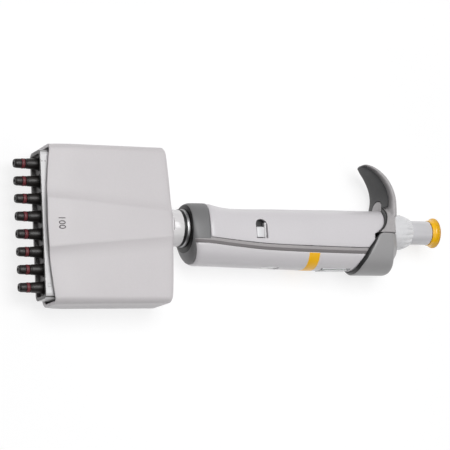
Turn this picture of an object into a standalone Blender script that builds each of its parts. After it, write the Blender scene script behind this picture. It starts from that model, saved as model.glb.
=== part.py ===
"""Eight-channel adjustable micropipette, lying on its back on a bench.

Row frame, in metres: +X runs along the rod axis from the nose cones to the push button, +Y is the
side that the finger hook stands on, and +Z is out of the head's front face. The origin is the middle
of the bounding box's bottom face, so the flat back of the head and the hook's saddle rest on Z = 0.

Dimensions below are in millimetres in the pipette's own axes: x from the cone tips, y and z from the
rod axis. P() turns them into row coordinates.
"""

import math

import bmesh
import bpy
from mathutils import Matrix, Vector

MM = 0.001

# ---- driving dimensions (mm) -------------------------------------------------------------
CHANNELS = 8
PITCH = 9.0               # spacing of the wells of a standard 96-well plate
OVERALL = 243.5           # cone tips to the top of the push button
REST_HEIGHT = 14.5        # rod axis above the bench

HEAD_HALF_WIDTH = 40.75
HEAD_WALL = 1.6
HEAD_NOSE_X = 13.0        # nose edge of the covers, at the middle
HEAD_END_X = 81.0         # handle-side face of the head, at the middle
HEAD_SPLIT = 0.15         # half of the seam between the two covers
NECK_HOLE_R = 10.0

BAR_HALF_WIDTH = 37.8
BAR_HALF_DEPTH = 7.5
BAR_X = (11.6, 24.0)
COMB_X = (13.6, 15.4)

CONE_TOP_X = 44.0
CONE_R = 3.2
FLANGE_X = (28.9, 31.4)
FLANGE_R = 4.1
PISTON_R = 1.9            # 11.3 mm2, so 8.5 mm of stroke draws about 100 microlitres
BLOCK_X = (25.5, 43.5)
BLOCK_POCKET_X = (28.6, 41.0)

BRIDGE_X = (58.0, 64.0)
YOKE_X = (73.7, 76.2)
ROD_R = 2.0
LIFT_ROD_END = 86.0

NECK_R = 9.6
NECK_END_X = 96.6
COLLAR_X = 91.8
SHELL_WALL = 1.8

EJECT_ROD = (-4.6, -7.8)  # y, z of the ejector rod
EJECT_ROD_R = 1.5
COUNTER_Y = -12.5         # counter axle, parallel to the rod
WHEEL_R = 6.2
WHEEL_W = 5.0
GEAR_TEETH = 16
GEAR_ROOT, GEAR_TIP = 5.5, 6.6
GEAR_X = (164.6, 168.4)

SADDLE_EDGE_Y = -2.4      # lower edge of the hook's saddle; the ejector button lies below it
RING_R = 9.5
SLEEVE_R = 6.6
REAR_X = 216.6            # rear of the hook and of the ejector button, on the rod axis
REAR_DROP = 6.0           # how far that end falls away 14 mm to either side

# handle outline: x, top y, bottom y, half width, y of the widest point
HANDLE = (
    (91.8, 12.0, -11.6, 11.7, 0.0),
    (92.4, 12.5, -14.6, 12.3, -1.2),
    (93.4, 12.9, -17.2, 12.7, -2.4),
    (95.0, 13.1, -18.9, 13.0, -3.3),
    (97.0, 13.15, -19.6, 13.1, -3.8),
    (101.5, 13.2, -19.7, 13.05, -4.2),
    (105.0, 12.9, -19.75, 12.9, -4.4),
    (108.5, 12.0, -19.8, 12.7, -4.6),
    (113.7, 11.1, -20.0, 12.45, -4.8),
    (120.0, 10.6, -20.2, 12.3, -5.0),
    (142.0, 10.9, -20.8, 12.45, -5.0),
    (160.0, 11.0, -21.3, 12.6, -5.0),
    (180.0, 11.2, -21.6, 12.5, -5.0),
    (195.0, 11.2, -21.8, 12.4, -5.0),
    (210.0, 11.2, -21.9, 12.4, -5.0),
)
SQUARE = 2.3              # exponent of the handle's rounded section
STRIPE = ((91.3, -7.4), (102.0, -8.0), (118.0, -9.5), (135.4, -10.9), (156.6, -11.6),
          (183.0, -12.1), (210.0, -12.3))


# ---- scene, collections and materials ----------------------------------------------------
for old in list(bpy.data.objects):
    bpy.data.objects.remove(old, do_unlink=True)

PARTS = bpy.data.collections.new("eight_channel_micropipette")
CUTTERS = bpy.data.collections.new("cutters")
bpy.context.scene.collection.children.link(PARTS)
bpy.context.scene.collection.children.link(CUTTERS)


def material(name, colour, roughness=0.5, metallic=0.0):
    m = bpy.data.materials.get(name)
    if m:
        return m
    m = bpy.data.materials.new(name)
    m.use_nodes = True
    shader = m.node_tree.nodes["Principled BSDF"]
    shader.inputs["Base Color"].default_value = (*colour, 1.0)
    shader.inputs["Roughness"].default_value = roughness
    shader.inputs["Metallic"].default_value = metallic
    m.diffuse_color = (*colour, 1.0)
    return m


LIGHT = ("light_grey_plastic", (0.62, 0.60, 0.61), 0.38)
DARK = ("dark_grey_plastic", (0.16, 0.16, 0.16), 0.45)
MID = ("mid_grey_plastic", (0.33, 0.32, 0.32), 0.42)
BLACK = ("black_plastic", (0.02, 0.02, 0.02), 0.4)
RED = ("red_seal", (0.30, 0.03, 0.04), 0.55)
YELLOW = ("yellow_plastic", (0.95, 0.55, 0.01), 0.35)
PAD = ("soft_pad", (0.05, 0.05, 0.05), 0.7)
WHITE = ("white_plastic", (0.75, 0.75, 0.76), 0.35)
STEEL = ("steel", (0.6, 0.6, 0.6), 0.3, 1.0)
CLEAR = ("clear_plastic", (0.8, 0.82, 0.85), 0.1)


def P(x, y, z):
    """Pipette axes in millimetres to the row frame in metres."""
    return Vector(((x - OVERALL / 2) * MM, y * MM, (z + REST_HEIGHT) * MM))


# ---- helpers -----------------------------------------------------------------------------
def add(name, mesh, finish, origin=None, cutter=False):
    """An object of a mesh that is drawn in row coordinates, with its origin moved to origin."""
    if origin is not None:
        mesh.transform(Matrix.Translation(-origin))
    obj = bpy.data.objects.new(name, mesh)
    if origin is not None:
        obj.location = origin
    if cutter:
        CUTTERS.objects.link(obj)
        obj.hide_render = True
        obj.display_type = "WIRE"
    else:
        PARTS.objects.link(obj)
        mesh.materials.append(material(name, finish[1], *finish[2:]))
    return obj


def shade(mesh, degrees=35):
    mesh.shade_smooth()
    mesh.set_sharp_from_angle(angle=math.radians(degrees))


def turned(name, profile, finish, ring=False, seg=16, y=0.0, z=0.0, cutter=False):
    """A solid of revolution about a line parallel to X. profile is (x, r), from high x to low x
    along its outer side; a ring's profile closes back up its inner side."""
    x0 = profile[-1][0] if not ring else min(p[0] for p in profile)
    mesh = bpy.data.meshes.new(name)
    points = [(r * MM, 0.0, (x - x0) * MM) for x, r in profile]
    edges = [(i, i + 1) for i in range(len(points) - 1)]
    if ring:
        edges.append((len(points) - 1, 0))
    mesh.from_pydata(points, edges, [])
    obj = add(name, mesh, finish, cutter=cutter)
    obj.location = P(x0, y, z)
    obj.rotation_euler = (0.0, math.pi / 2, 0.0)
    screw = obj.modifiers.new("turn", "SCREW")
    screw.axis = "Z"
    screw.angle = 2 * math.pi
    screw.steps = screw.render_steps = seg
    screw.screw_offset = 0.0
    screw.use_merge_vertices = True
    screw.merge_threshold = 0.00001
    screw.use_smooth_shade = True
    return obj


def cylinder(name, x0, x1, r, y=0.0, z=0.0, seg=16, finish=None, cutter=False):
    """A cylinder along X."""
    mesh = bpy.data.meshes.new(name)
    bm = bmesh.new()
    bmesh.ops.create_cone(bm, cap_ends=True, segments=seg, radius1=r * MM, radius2=r * MM,
                          depth=(x1 - x0) * MM,
                          matrix=Matrix.Translation(P((x0 + x1) / 2, y, z))
                          @ Matrix.Rotation(math.pi / 2, 4, "Y"))
    bm.to_mesh(mesh)
    bm.free()
    if not cutter:
        shade(mesh)
    return add(name, mesh, finish, None if cutter else P(x0, y, z), cutter)


def block(name, lo, hi, finish=None, bevel=0.0, cutter=False, origin=None):
    """A box between two corners in pipette axes, with its long edges rounded by a Bevel."""
    mesh = bpy.data.meshes.new(name)
    bm = bmesh.new()
    a, b = P(*lo), P(*hi)
    size = b - a
    bmesh.ops.create_cube(bm, size=1.0,
                          matrix=Matrix.Translation((a + b) / 2) @ Matrix.Diagonal((*size, 1.0)))
    bm.to_mesh(mesh)
    bm.free()
    obj = add(name, mesh, finish, origin if origin is not None else (None if cutter else (a + b) / 2), cutter)
    if bevel:
        m = obj.modifiers.new("round", "BEVEL")
        m.width = bevel * MM
        m.segments = 2
        m.limit_method = "ANGLE"
    return obj


def loft(name, rings, finish=None, cutter=False, origin=None, bend=35):
    """A closed solid through rings of points, with flat ends, for sections that change shape."""
    mesh = bpy.data.meshes.new(name)
    bm = bmesh.new()
    rows = [[bm.verts.new(p) for p in ring] for ring in rings]
    n = len(rows[0])
    for a, b in zip(rows, rows[1:]):
        for i in range(n):
            j = (i + 1) % n
            bm.faces.new((a[i], a[j], b[j], b[i]))
    bm.faces.new(rows[0])
    bm.faces.new(rows[-1])
    bmesh.ops.recalc_face_normals(bm, faces=bm.faces)
    bm.to_mesh(mesh)
    bm.free()
    shade(mesh, bend)
    return add(name, mesh, finish, origin, cutter)


def skin(name, rows, thickness, finish, outward, cutter=False, origin=None):
    """A moulded shell: an open surface through rows of points, thickened inwards by Solidify.
    outward is a point that the surface's outside faces away from."""
    mesh = bpy.data.meshes.new(name)
    bm = bmesh.new()
    grid = [[bm.verts.new(p) for p in row] for row in rows]
    for a, b in zip(grid, grid[1:]):
        for i in range(len(a) - 1):
            bm.faces.new((a[i], a[i + 1], b[i + 1], b[i]))
    bm.normal_update()
    facing = sum(f.normal.dot(f.calc_center_median() - outward) * f.calc_area() for f in bm.faces)
    if facing < 0:
        bmesh.ops.reverse_faces(bm, faces=bm.faces)
    bm.to_mesh(mesh)
    bm.free()
    shade(mesh)
    obj = add(name, mesh, finish, origin, cutter)
    m = obj.modifiers.new("wall", "SOLIDIFY")
    m.thickness = thickness * MM
    m.offset = -1.0
    m.use_even_offset = True
    m.use_rim = True
    return obj


def extruded(name, outline, lo, hi, plane, finish=None, cutter=False, origin=None):
    """A flat outline with a thickness: a filled 2D curve, made a mesh so that it can be cut.
    plane is YZ (lo..hi along x), XY (along z) or XZ (along y)."""
    curve = bpy.data.curves.new(name, "CURVE")
    curve.dimensions = "2D"
    curve.fill_mode = "BOTH"
    curve.extrude = (hi - lo) / 2 * MM
    spline = curve.splines.new("POLY")
    spline.points.add(len(outline) - 1)
    for point, (u, v) in zip(spline.points, outline):
        point.co = (u * MM, v * MM, 0.0, 1.0)
    spline.use_cyclic_u = True
    mid = (lo + hi) / 2
    columns = {
        "YZ": ((0, 1, 0), (0, 0, 1), (1, 0, 0), P(mid, 0, 0)),
        "XY": ((1, 0, 0), (0, 1, 0), (0, 0, 1), P(0, 0, mid)),
        "XZ": ((1, 0, 0), (0, 0, 1), (0, -1, 0), P(0, mid, 0)),
    }[plane]
    matrix = Matrix([[columns[c][r] for c in range(4)] for r in range(3)] + [[0, 0, 0, 1]])
    holder = bpy.data.objects.new(name + "_curve", curve)
    bpy.context.scene.collection.objects.link(holder)
    bpy.context.view_layer.update()
    depsgraph = bpy.context.evaluated_depsgraph_get()
    mesh = bpy.data.meshes.new_from_object(holder.evaluated_get(depsgraph))
    bpy.data.objects.remove(holder)
    bpy.data.curves.remove(curve)
    bm = bmesh.new()
    bm.from_mesh(mesh)
    bmesh.ops.remove_doubles(bm, verts=bm.verts, dist=1e-7)
    bmesh.ops.transform(bm, matrix=matrix, verts=bm.verts)
    bmesh.ops.recalc_face_normals(bm, faces=bm.faces)
    bm.to_mesh(mesh)
    bm.free()
    mesh.name = name
    mesh.materials.clear()
    return add(name, mesh, finish, origin, cutter)


def coil(name, x0, x1, radius, wire, turns, per_turn, finish, y=0.0, z=0.0):
    """A compression spring about a line parallel to X, with closed ends."""
    curve = bpy.data.curves.new(name, "CURVE")
    curve.dimensions = "3D"
    curve.bevel_depth = wire * MM
    curve.bevel_resolution = 0
    curve.use_fill_caps = True
    spline = curve.splines.new("POLY")
    count = int(turns * per_turn) + 1
    spline.points.add(count - 1)
    base = P(x0, y, z)
    for i, point in enumerate(spline.points):
        t = i / (count - 1)
        a = 2 * math.pi * turns * t
        rise = wire + t * (x1 - x0 - 2 * wire)
        point.co = (rise * MM, radius * math.cos(a) * MM, radius * math.sin(a) * MM, 1.0)
    obj = bpy.data.objects.new(name, curve)
    obj.location = base
    PARTS.objects.link(obj)
    curve.materials.append(material(name, finish[1], *finish[2:]))
    return obj


def cut(obj, cutter, operation="DIFFERENCE"):
    m = obj.modifiers.new(operation.lower(), "BOOLEAN")
    m.operation = operation
    m.solver = "EXACT"
    m.object = cutter
    return m


def at(table, x):
    """Straight interpolation down a table whose first column is x."""
    if x <= table[0][0]:
        return table[0][1:]
    for a, b in zip(table, table[1:]):
        if x <= b[0]:
            t = (x - a[0]) / (b[0] - a[0])
            return tuple(p + (q - p) * t for p, q in zip(a[1:], b[1:]))
    return table[-1][1:]


# ---- handle section ----------------------------------------------------------------------
def section_point(x, angle, inset=0.0, shape=None):
    """Point of the handle's rounded section; angle is from +Z towards +Y."""
    top, bottom, half, middle = shape or at(HANDLE, x)
    s, c = math.sin(angle), math.cos(angle)
    up, down, wide = top - middle - inset, middle - bottom - inset, half - inset
    y = up * abs(s) ** (2 / SQUARE) if s >= 0 else -down * abs(s) ** (2 / SQUARE)
    z = math.copysign(wide * abs(c) ** (2 / SQUARE), c)
    return P(x, middle + y, z)


def section_angle(x, y, shape=None):
    """Angle on the +Z side at which the section reaches height y."""
    top, bottom, half, middle = shape or at(HANDLE, x)
    if y >= middle:
        return math.asin(min(1.0, ((y - middle) / (top - middle)) ** (SQUARE / 2)))
    return -math.asin(min(1.0, ((middle - y) / (middle - bottom)) ** (SQUARE / 2)))


def section_side(x, y, inset=0.0, side=1):
    """Point of the section, inset by so much, at height y on the front (1) or back (-1) side."""
    top, bottom, half, middle = at(HANDLE, x)
    reach = (top - middle if y > middle else middle - bottom) - inset
    t = min(1.0, abs(y - middle) / reach)
    return P(x, y, side * (half - inset) * (1 - t ** SQUARE) ** (1 / SQUARE))


def section_ring(x, inset=0.0, count=24, shape=None):
    return [section_point(x, 2 * math.pi * (i + 0.5) / count, inset, shape) for i in range(count)]


# ---- head --------------------------------------------------------------------------------
def channel_y(i):
    return (i - (CHANNELS - 1) / 2) * PITCH


def rounded_rectangle(half_y, half_z, r, each=4):
    points = []
    for cy, cz, start in ((half_y - r, half_z - r, 0), (r - half_y, half_z - r, 90),
                          (r - half_y, r - half_z, 180), (half_y - r, r - half_z, 270)):
        for k in range(each + 1):
            a = math.radians(start + 90 * k / each)
            points.append((cy + r * math.cos(a), cz + r * math.sin(a)))
    return points


FRONT_FACE = ((13.0, 9.6), (17.0, 10.3), (22.0, 11.0), (28.0, 11.35), (45.0, 11.5), (79.0, 11.6))
BACK_FACE = ((13.0, 9.6), (17.0, 11.8), (21.0, 13.6), (26.0, 14.5), (79.0, 14.5))


def head_section(x, side, shrink=0.0):
    """Half section of a head cover from -Y to +Y: wall, rounded edge, face, raised middle band."""
    face = at(FRONT_FACE if side > 0 else BACK_FACE, x)[0]
    w = HEAD_HALF_WIDTH - 0.35 * max(0.0, (x - 20.0) / 60.0) - shrink
    h = face - shrink
    r = 3.2
    band = 12.8 - 5.8 * min(1.0, max(0.0, (x - 14.0) / 66.0))
    lift = 1.1 if side > 0 else 0.0
    crown = 0.25 if side > 0 else 0.0
    half = [(w, HEAD_SPLIT), (w, h - r), (w - r * 0.29, h - r * 0.29), (w - r, h)]
    for y in (26.0, band + 1.5):
        half.append((y, h + crown * (1 - (y / w) ** 2)))
    half.append((band, h + crown + lift))
    half.append((band / 2, h + crown + lift + 0.05 * (1 if side > 0 else 0)))
    row = [(-y, z) for y, z in half] + [(0.0, h + crown + lift + 0.07 * (1 if side > 0 else 0))]
    row += [(y, z) for y, z in reversed(half)]
    return [(y, side * z) for y, z in row]


def head_x(x, y):
    """Nose and handle edges are slightly curved in plan."""
    t = (x - HEAD_NOSE_X) / (HEAD_END_X - HEAD_NOSE_X)
    nose = 3.0 * (y / 39.0) ** 2 * max(0.0, 1 - t * 3.0)
    end = -1.7 * (y / 40.0) ** 2 * max(0.0, t * 3.0 - 2.0)
    return x + nose + end


def head_cover(name, side):
    rows = []
    for x, shrink in ((13.0, 0.0), (17.0, 0.0), (22.0, 0.0), (28.0, 0.0), (45.0, 0.0), (64.0, 0.0),
                      (80.0, 0.0), (80.7, 0.3), (81.0, 1.0)):
        rows.append([P(head_x(x, y), y, z) for y, z in head_section(x, side, shrink)])
    edge = head_section(81.0, side, 1.0)
    count = len(edge)
    for share in (0.5, 1.0):
        row = []
        for i, (y, z) in enumerate(edge):
            a = math.pi - math.pi * i / (count - 1)
            hole = (NECK_HOLE_R * math.cos(a), side * max(HEAD_SPLIT, NECK_HOLE_R * math.sin(a)))
            py, pz = y + (hole[0] - y) * share, z + (hole[1] - z) * share
            row.append(P(head_x(81.0, py), py, pz))
        rows.append(row)
    return skin(name, rows, HEAD_WALL, LIGHT, P(48, 0, 0))


head_front = head_cover("head_front_cover", 1)
head_back = head_cover("head_back_cover", -1)

cone_block = block("cone_block", (BLOCK_X[0], -36.0, -12.0), (BLOCK_X[1], 36.0, 9.3), MID)
cut(cone_block, block("block_pocket", (BLOCK_POCKET_X[0], -37.0, -5.2), (BLOCK_POCKET_X[1], 37.0, 5.2),
                      cutter=True))
for i in range(CHANNELS):
    cut(cone_block, cylinder(f"block_bore_{i + 1}", 20, 50, 3.6, channel_y(i), seg=12, cutter=True))

# neck: the tube that the handle swivels on, with a square flange behind the head's end wall
neck = turned("neck_tube", [(NECK_END_X, 6.5), (NECK_END_X, 8.0), (89.2, 8.0), (89.2, NECK_R),
                            (77.9, NECK_R), (77.9, 6.5)], LIGHT, ring=True, seg=28)
flange = block("neck_flange", (77.0, -14.0, -8.5), (78.8, 14.0, 8.5), cutter=True)
cut(flange, cylinder("neck_flange_bore", 70, 90, 6.5, seg=28, cutter=True))
cut(neck, flange, "UNION")
cut(neck, block("neck_slot", (81.4, -2.6, 8.0), (82.9, 4.8, 12.0), cutter=True))

turned("swivel_ring", [(91.5, 8.3), (91.5, 9.6), (91.0, 9.9), (90.0, 9.9), (89.5, 9.6), (89.5, 8.3)],
       STEEL, ring=True, seg=28)

# ejector bar: a tray whose comb plate strips the tips, pushed by a yoke with two long arms
bar = extruded("ejector_bar", rounded_rectangle(BAR_HALF_WIDTH, BAR_HALF_DEPTH, 3.0, 3),
               *BAR_X, "YZ", MID, origin=P(BAR_X[0], 0, 0))
cut(bar, extruded("bar_front_pocket", rounded_rectangle(BAR_HALF_WIDTH - 1.8, BAR_HALF_DEPTH - 1.6, 1.6, 3),
                  5.0, COMB_X[0], "YZ", cutter=True))
cut(bar, extruded("bar_rear_pocket", rounded_rectangle(BAR_HALF_WIDTH - 1.5, BAR_HALF_DEPTH - 1.5, 1.8, 2),
                  COMB_X[1], 30.0, "YZ", cutter=True))
for i in range(CHANNELS):
    cut(bar, cylinder(f"comb_hole_{i + 1}", 10, 20, 3.7, channel_y(i), seg=14, cutter=True))

yoke = extruded("ejector_yoke", [(24.3, 36.4), (24.3, 37.8), (YOKE_X[1], 37.8), (YOKE_X[1], -37.8),
                                 (24.3, -37.8), (24.3, -36.4), (YOKE_X[0], -36.4), (YOKE_X[0], 36.4)],
                -4.0, 4.0, "XY", MID, origin=P(YOKE_X[0], 0, 0))
cut(yoke, cylinder("yoke_hub", YOKE_X[0] - 0.6, YOKE_X[1] + 0.2, 6.4, seg=20, cutter=True), "UNION")
cut(yoke, cylinder("yoke_bore", 60, 90, 2.5, seg=16, cutter=True))

# piston bridge: the beam that carries the eight pistons, with the rod that lifts it
bridge = block("piston_bridge", (BRIDGE_X[0], -35.8, -4.0), (BRIDGE_X[1], 35.8, 4.0), MID, bevel=0.6,
               origin=P(BRIDGE_X[0], 0, 0))
cut(bridge, cylinder("lift_rod", BRIDGE_X[1] - 2, LIFT_ROD_END, ROD_R, seg=14, cutter=True), "UNION")

CONE = [(CONE_TOP_X, 2.2), (CONE_TOP_X, CONE_R), (FLANGE_X[1], CONE_R), (FLANGE_X[1], FLANGE_R),
        (FLANGE_X[0], FLANGE_R), (FLANGE_X[0], CONE_R), (12.4, CONE_R), (9.2, 2.65), (5.8, 2.5),
        (5.8, 1.75), (3.5, 1.75), (3.5, 2.38), (0.9, 2.25), (0.0, 1.65), (0.0, 0.8), (26.0, 0.8),
        (26.0, 2.2)]
SEAL = [(5.5, 2.05), (5.5, 2.62), (4.65, 2.76), (3.8, 2.62), (3.8, 2.05)]
for i in range(CHANNELS):
    y = channel_y(i)
    turned(f"nose_cone_{i + 1}", CONE, BLACK, ring=True, seg=10, y=y)
    turned(f"tip_seal_{i + 1}", SEAL, RED, ring=True, seg=12, y=y)
    coil(f"cone_spring_{i + 1}", 31.7, 40.7, 3.75, 0.25, 3.5, 8, STEEL, y=y)
    cylinder(f"piston_{i + 1}", 40.5, 57.7, PISTON_R, y, seg=10, finish=STEEL)


# ---- handle ------------------------------------------------------------------------------
def collar_edge(y):
    """How far back the seam between the collar and the upper shell lies at height y."""
    return 1.8 * max(0.0, (y + 2.0) / 15.0) ** 2


def lower_edge(y):
    """x of the lower shell's front edge at height y; it leans back towards the bottom."""
    return 93.0 + 0.19 * max(0.0, -8.0 - y)


# chassis: swivel collar, the two side rails between the shells, and two bulkheads
chassis = loft("handle_chassis", [section_ring(x) for x in (COLLAR_X, 92.4, 93.4, 95.0, 97.0, 101.5, 105.0, 108.2)], DARK)
cut(chassis, cylinder("collar_bore", 85, 97.2, 8.35, seg=28, cutter=True))
cut(chassis, loft("collar_hollow", [section_ring(x, SHELL_WALL) for x in (97.0, 101.5, 105.0, 109.0)], cutter=True))
# the collar's rear edge runs back towards the top, and below the rails it stops at the lower shell
cut(chassis, extruded("collar_rear_cut", [(101.2 + collar_edge(y), y) for y in (-30, -2, 1, 4, 7, 10, 16)]
                      + [(120.0, 16.0), (120.0, -30.0)], -20.0, 20.0, "XY", cutter=True))
# below the rails the collar is only a rim in front of the lower shell
under = extruded("collar_lower_cut", [(lower_edge(-7.2) - 0.45, -7.2), (112.0, -7.2), (112.0, -30.0),
                                      (lower_edge(-30.0) - 1.2, -30.0)], -20.0, 20.0, "XY", cutter=True)
cut(chassis, under)


def rail_ring(x, side):
    s = at(STRIPE, x)[0]
    return ([section_side(x, y, 0.25, side) for y in (s - 1.5, s, s + 1.5)]
            + [section_side(x, y, 3.2, side) for y in (s + 1.5, s - 0.4 + 0.17 * max(0.0, 98.0 - x))])


for side, label in ((1, "front"), (-1, "rear")):
    rail = loft(f"rail_{label}", [rail_ring(x, side) for x in
                                  (92.3, 93.4, 95.0, 97.0, 101.5, 113.7, 120, 142, 160, 180, 198.4)], cutter=True)
    cut(chassis, rail, "UNION")
for label, x0, x1 in (("front", 115.5, 117.8), ("rear", 196.4, 198.2)):
    bulkhead = loft(f"bulkhead_{label}", [section_ring(x, 2.2) for x in (x0, x1)], cutter=True)
    cut(bulkhead, cylinder(f"bulkhead_{label}_rod", x0 - 2, x1 + 2, 2.4 if label == "front" else 4.6,
                           seg=16, cutter=True))
    cut(bulkhead, cylinder(f"bulkhead_{label}_eject", x0 - 2, x1 + 2, 1.85, *EJECT_ROD, seg=12,
                           cutter=True))
    cut(chassis, bulkhead, "UNION")


def shell_rows(stations, start, end, low_y, high_side):
    """Rows of points along the handle for one shell, from its front edge to its rear edge.
    start and end give the x of the edges for a point at height y."""
    rows = []
    count = 15
    for k in range(count):
        row = []
        for t in stations:
            x = start(0.0) + (end(0.0) - start(0.0)) * t
            a0 = low_y(x)
            a1 = math.pi - a0 if high_side else -math.pi - a0
            a = a0 + (a1 - a0) * k / (count - 1)
            y = (section_point(x, a).y) / MM
            xx = start(y) + (end(y) - start(y)) * t
            a0 = low_y(xx)
            a1 = math.pi - a0 if high_side else -math.pi - a0
            a = a0 + (a1 - a0) * k / (count - 1)
            row.append(section_point(xx, a))
        rows.append(row)
    return rows


UPPER_REAR = ((-30.0, 199.0), (-2.5, 199.0), (-1.9, 200.9), (0.4, 203.9), (9.2, 206.9), (12.0, 207.6))
upper = skin("upper_shell",
             shell_rows((0, 0.035, 0.075, 0.125, 0.19, 0.40, 0.62, 0.86, 1.0),
                        lambda y: 101.7 + collar_edge(y),
                        lambda y: at(UPPER_REAR, y)[0],
                        lambda x: section_angle(x, at(STRIPE, x)[0] + 1.8), True),
             SHELL_WALL, LIGHT, P(150, -2, 0))
# arch-shaped service port on the front side
arch = [(134.7, -6.5), (134.7, 1.2)]
arch += [(131.5 + 3.2 * math.cos(math.radians(a)), 0.8 + 3.1 * math.sin(math.radians(a))) for a in (20, 45, 70, 95, 120, 150)]
arch += [(128.0, 0.8), (128.0, -6.5)]
cut(upper, extruded("port_cut", arch, 6.0, 16.0, "XY", cutter=True))
block("adjuster_plug", (128.6, -6.0, 8.9), (134.1, -0.4, 11.4), WHITE, bevel=0.5)

lower = skin("lower_shell",
             shell_rows((0, 0.008, 0.019, 0.038, 0.08, 0.16, 0.23, 0.44, 0.60, 0.82, 1.0),
                        lower_edge, lambda y: 199.0,
                        lambda x: section_angle(x, at(STRIPE, x)[0] - 1.8 - 0.06 * max(0.0, 98.0 - x)), False),
             SHELL_WALL, LIGHT, P(150, -8, 0))
cut(lower, block("window_cut", (169.5, -25.0, -4.5), (187.2, -15.0, 4.5), cutter=True))
block("display_lens", (169.8, -21.35, -4.2), (186.9, -20.0, 4.2), CLEAR, bevel=0.4)

# finger hook: a saddle over the end of the handle, with the blade that hangs on the finger
SADDLE = (12.8, -30.0, 14.58, -5.0)
hook = extruded("finger_hook", [(201.7, SADDLE_EDGE_Y), (205.0, 0.4), (208.5, 9.2), (209.1, 13.5),
                                (222.0, 13.5), (222.0, SADDLE_EDGE_Y)], -16.0, 16.0, "XY", MID,
                origin=P(207, 0, 0))
cut(hook, loft("saddle_section", [section_ring(x, 0.0, 32, SADDLE) for x in (190.0, 225.0)], cutter=True),
    "INTERSECT")
rear = [(190.0, -18.0), (190.0, 18.0)] + [(REAR_X - REAR_DROP * (z / 14.0) ** 2, z) for z in
                                          (18.0, 14.5, 12.0, 9.0, 5.0, 0.0, -5.0, -9.0, -12.0, -14.5, -18.0)]
cut(hook, extruded("saddle_rear", rear, -20.0, 20.0, "XZ", cutter=True), "INTERSECT")

# blade sections: nose-facing point, outer point, half width
BLADE = (
    ((207.8, 7.0), (215.2, 7.0), 12.4),
    ((208.4, 12.5), (215.7, 12.5), 12.0),
    ((209.4, 17.4), (215.9, 17.8), 11.0),
    ((208.8, 22.5), (214.6, 24.0), 9.9),
    ((206.9, 27.0), (211.8, 29.4), 8.9),
    ((204.4, 30.6), (208.0, 33.4), 7.7),
    ((202.0, 33.0), (204.5, 35.7), 6.4),
    ((200.2, 34.6), (201.8, 36.7), 4.8),
)
PAD_THICK = 1.3


def blade_ring(inner, outer, half, count=16, n=2.6, lead=1.6, back=0.0, widen=0.0):
    a, b = Vector(inner), Vector(outer)
    along = (b - a).normalized()
    a = a + along * lead
    if back:
        b = a + along * back
    mid, reach = (a + b) / 2, (b - a).length / 2
    ring = []
    for i in range(count):
        t = 2 * math.pi * (i + 0.5) / count
        u = math.copysign(abs(math.cos(t)) ** (2 / n), math.cos(t))
        v = math.copysign(abs(math.sin(t)) ** (2 / n), math.sin(t))
        q = mid + along * reach * u
        ring.append(P(q.x, q.y, (half + widen) * v))
    return ring


blade = loft("blade", [blade_ring(*s) for s in BLADE] +
             [blade_ring((200.7, 35.9), (201.3, 36.9), 2.6, lead=0.5)], cutter=True)
cut(hook, blade, "UNION")
cut(hook, cylinder("hook_spindle_bore", 195.0, 215.0, 4.6, seg=16, cutter=True))
cut(hook, cylinder("hook_ring_bore", 212.3, 230.0, 9.9, seg=28, cutter=True))

PAD_BASE = ((208.6, 13.7), (215.7, 13.9), 11.8)
loft("hook_pad", [blade_ring(a, b, h, 14, 3.2, 0.0, PAD_THICK, -0.9) for a, b, h in (PAD_BASE, *BLADE[2:])] +
     [blade_ring((199.7, 35.1), (200.3, 35.95), 2.4, 14, 3.2, 0.0, 0.9, 0.0)], PAD, origin=P(207, 12, 0))

# counter: three number wheels on an axle beside the spindle, geared to it one to one
turned("counter_axle", [(196.1, 0.0), (196.1, 1.2), (163.2, 1.2), (163.2, 0.0)], STEEL, seg=10, y=COUNTER_Y)


def gear_outline(phase, y=0.0):
    """Straight-sided teeth, with backlash; phase is in tooth pitches."""
    points = []
    step = 2 * math.pi / GEAR_TEETH
    for k in range(GEAR_TEETH):
        c = (k + phase) * step
        for r, d in ((GEAR_ROOT, -0.30), (GEAR_TIP, -0.12), (GEAR_TIP, 0.12), (GEAR_ROOT, 0.30)):
            points.append((y + r * math.sin(c + d * step), r * math.cos(c + d * step)))
    return points


def wheel(name, x0, finish):
    return turned(name, [(x0 + WHEEL_W, 1.5), (x0 + WHEEL_W, WHEEL_R), (x0, WHEEL_R), (x0, 1.5)], finish,
                  ring=True, seg=20, y=COUNTER_Y)


units = wheel("units_wheel", 170.4, WHITE)
wheel("tens_wheel", 175.8, WHITE)
wheel("hundreds_wheel", 181.2, WHITE)
pinion = extruded("pinion", gear_outline(0.0, COUNTER_Y), *GEAR_X, "YZ", cutter=True)
cut(pinion, cylinder("pinion_hub", GEAR_X[0] + 1, 171.4, 3.0, COUNTER_Y, seg=14, cutter=True), "UNION")
cut(pinion, cylinder("pinion_bore", 150, 171.9, 1.5, COUNTER_Y, seg=20, cutter=True))
cut(units, pinion, "UNION")

# ---- push button, volume drive and ejector -----------------------------------------------
turned("button_cap", [(243.5, 0.0), (243.5, 7.5), (243.2, 8.2), (242.2, 8.2), (241.9, 7.2), (239.0, 6.9),
                      (239.0, 0.0)], YELLOW, seg=24)
turned("push_rod", [(238.7, 0.0), (238.7, SLEEVE_R), (226.5, SLEEVE_R), (226.5, 5.4), (236.8, 5.4),
                    (236.8, ROD_R), (139.7, ROD_R), (139.7, 5.0), (137.7, 5.0), (137.7, ROD_R),
                    (86.3, ROD_R), (86.3, 0.0)], WHITE, seg=18)
coil("stroke_spring", 118.1, 137.4, 3.4, 0.4, 6.0, 9, STEEL)

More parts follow.
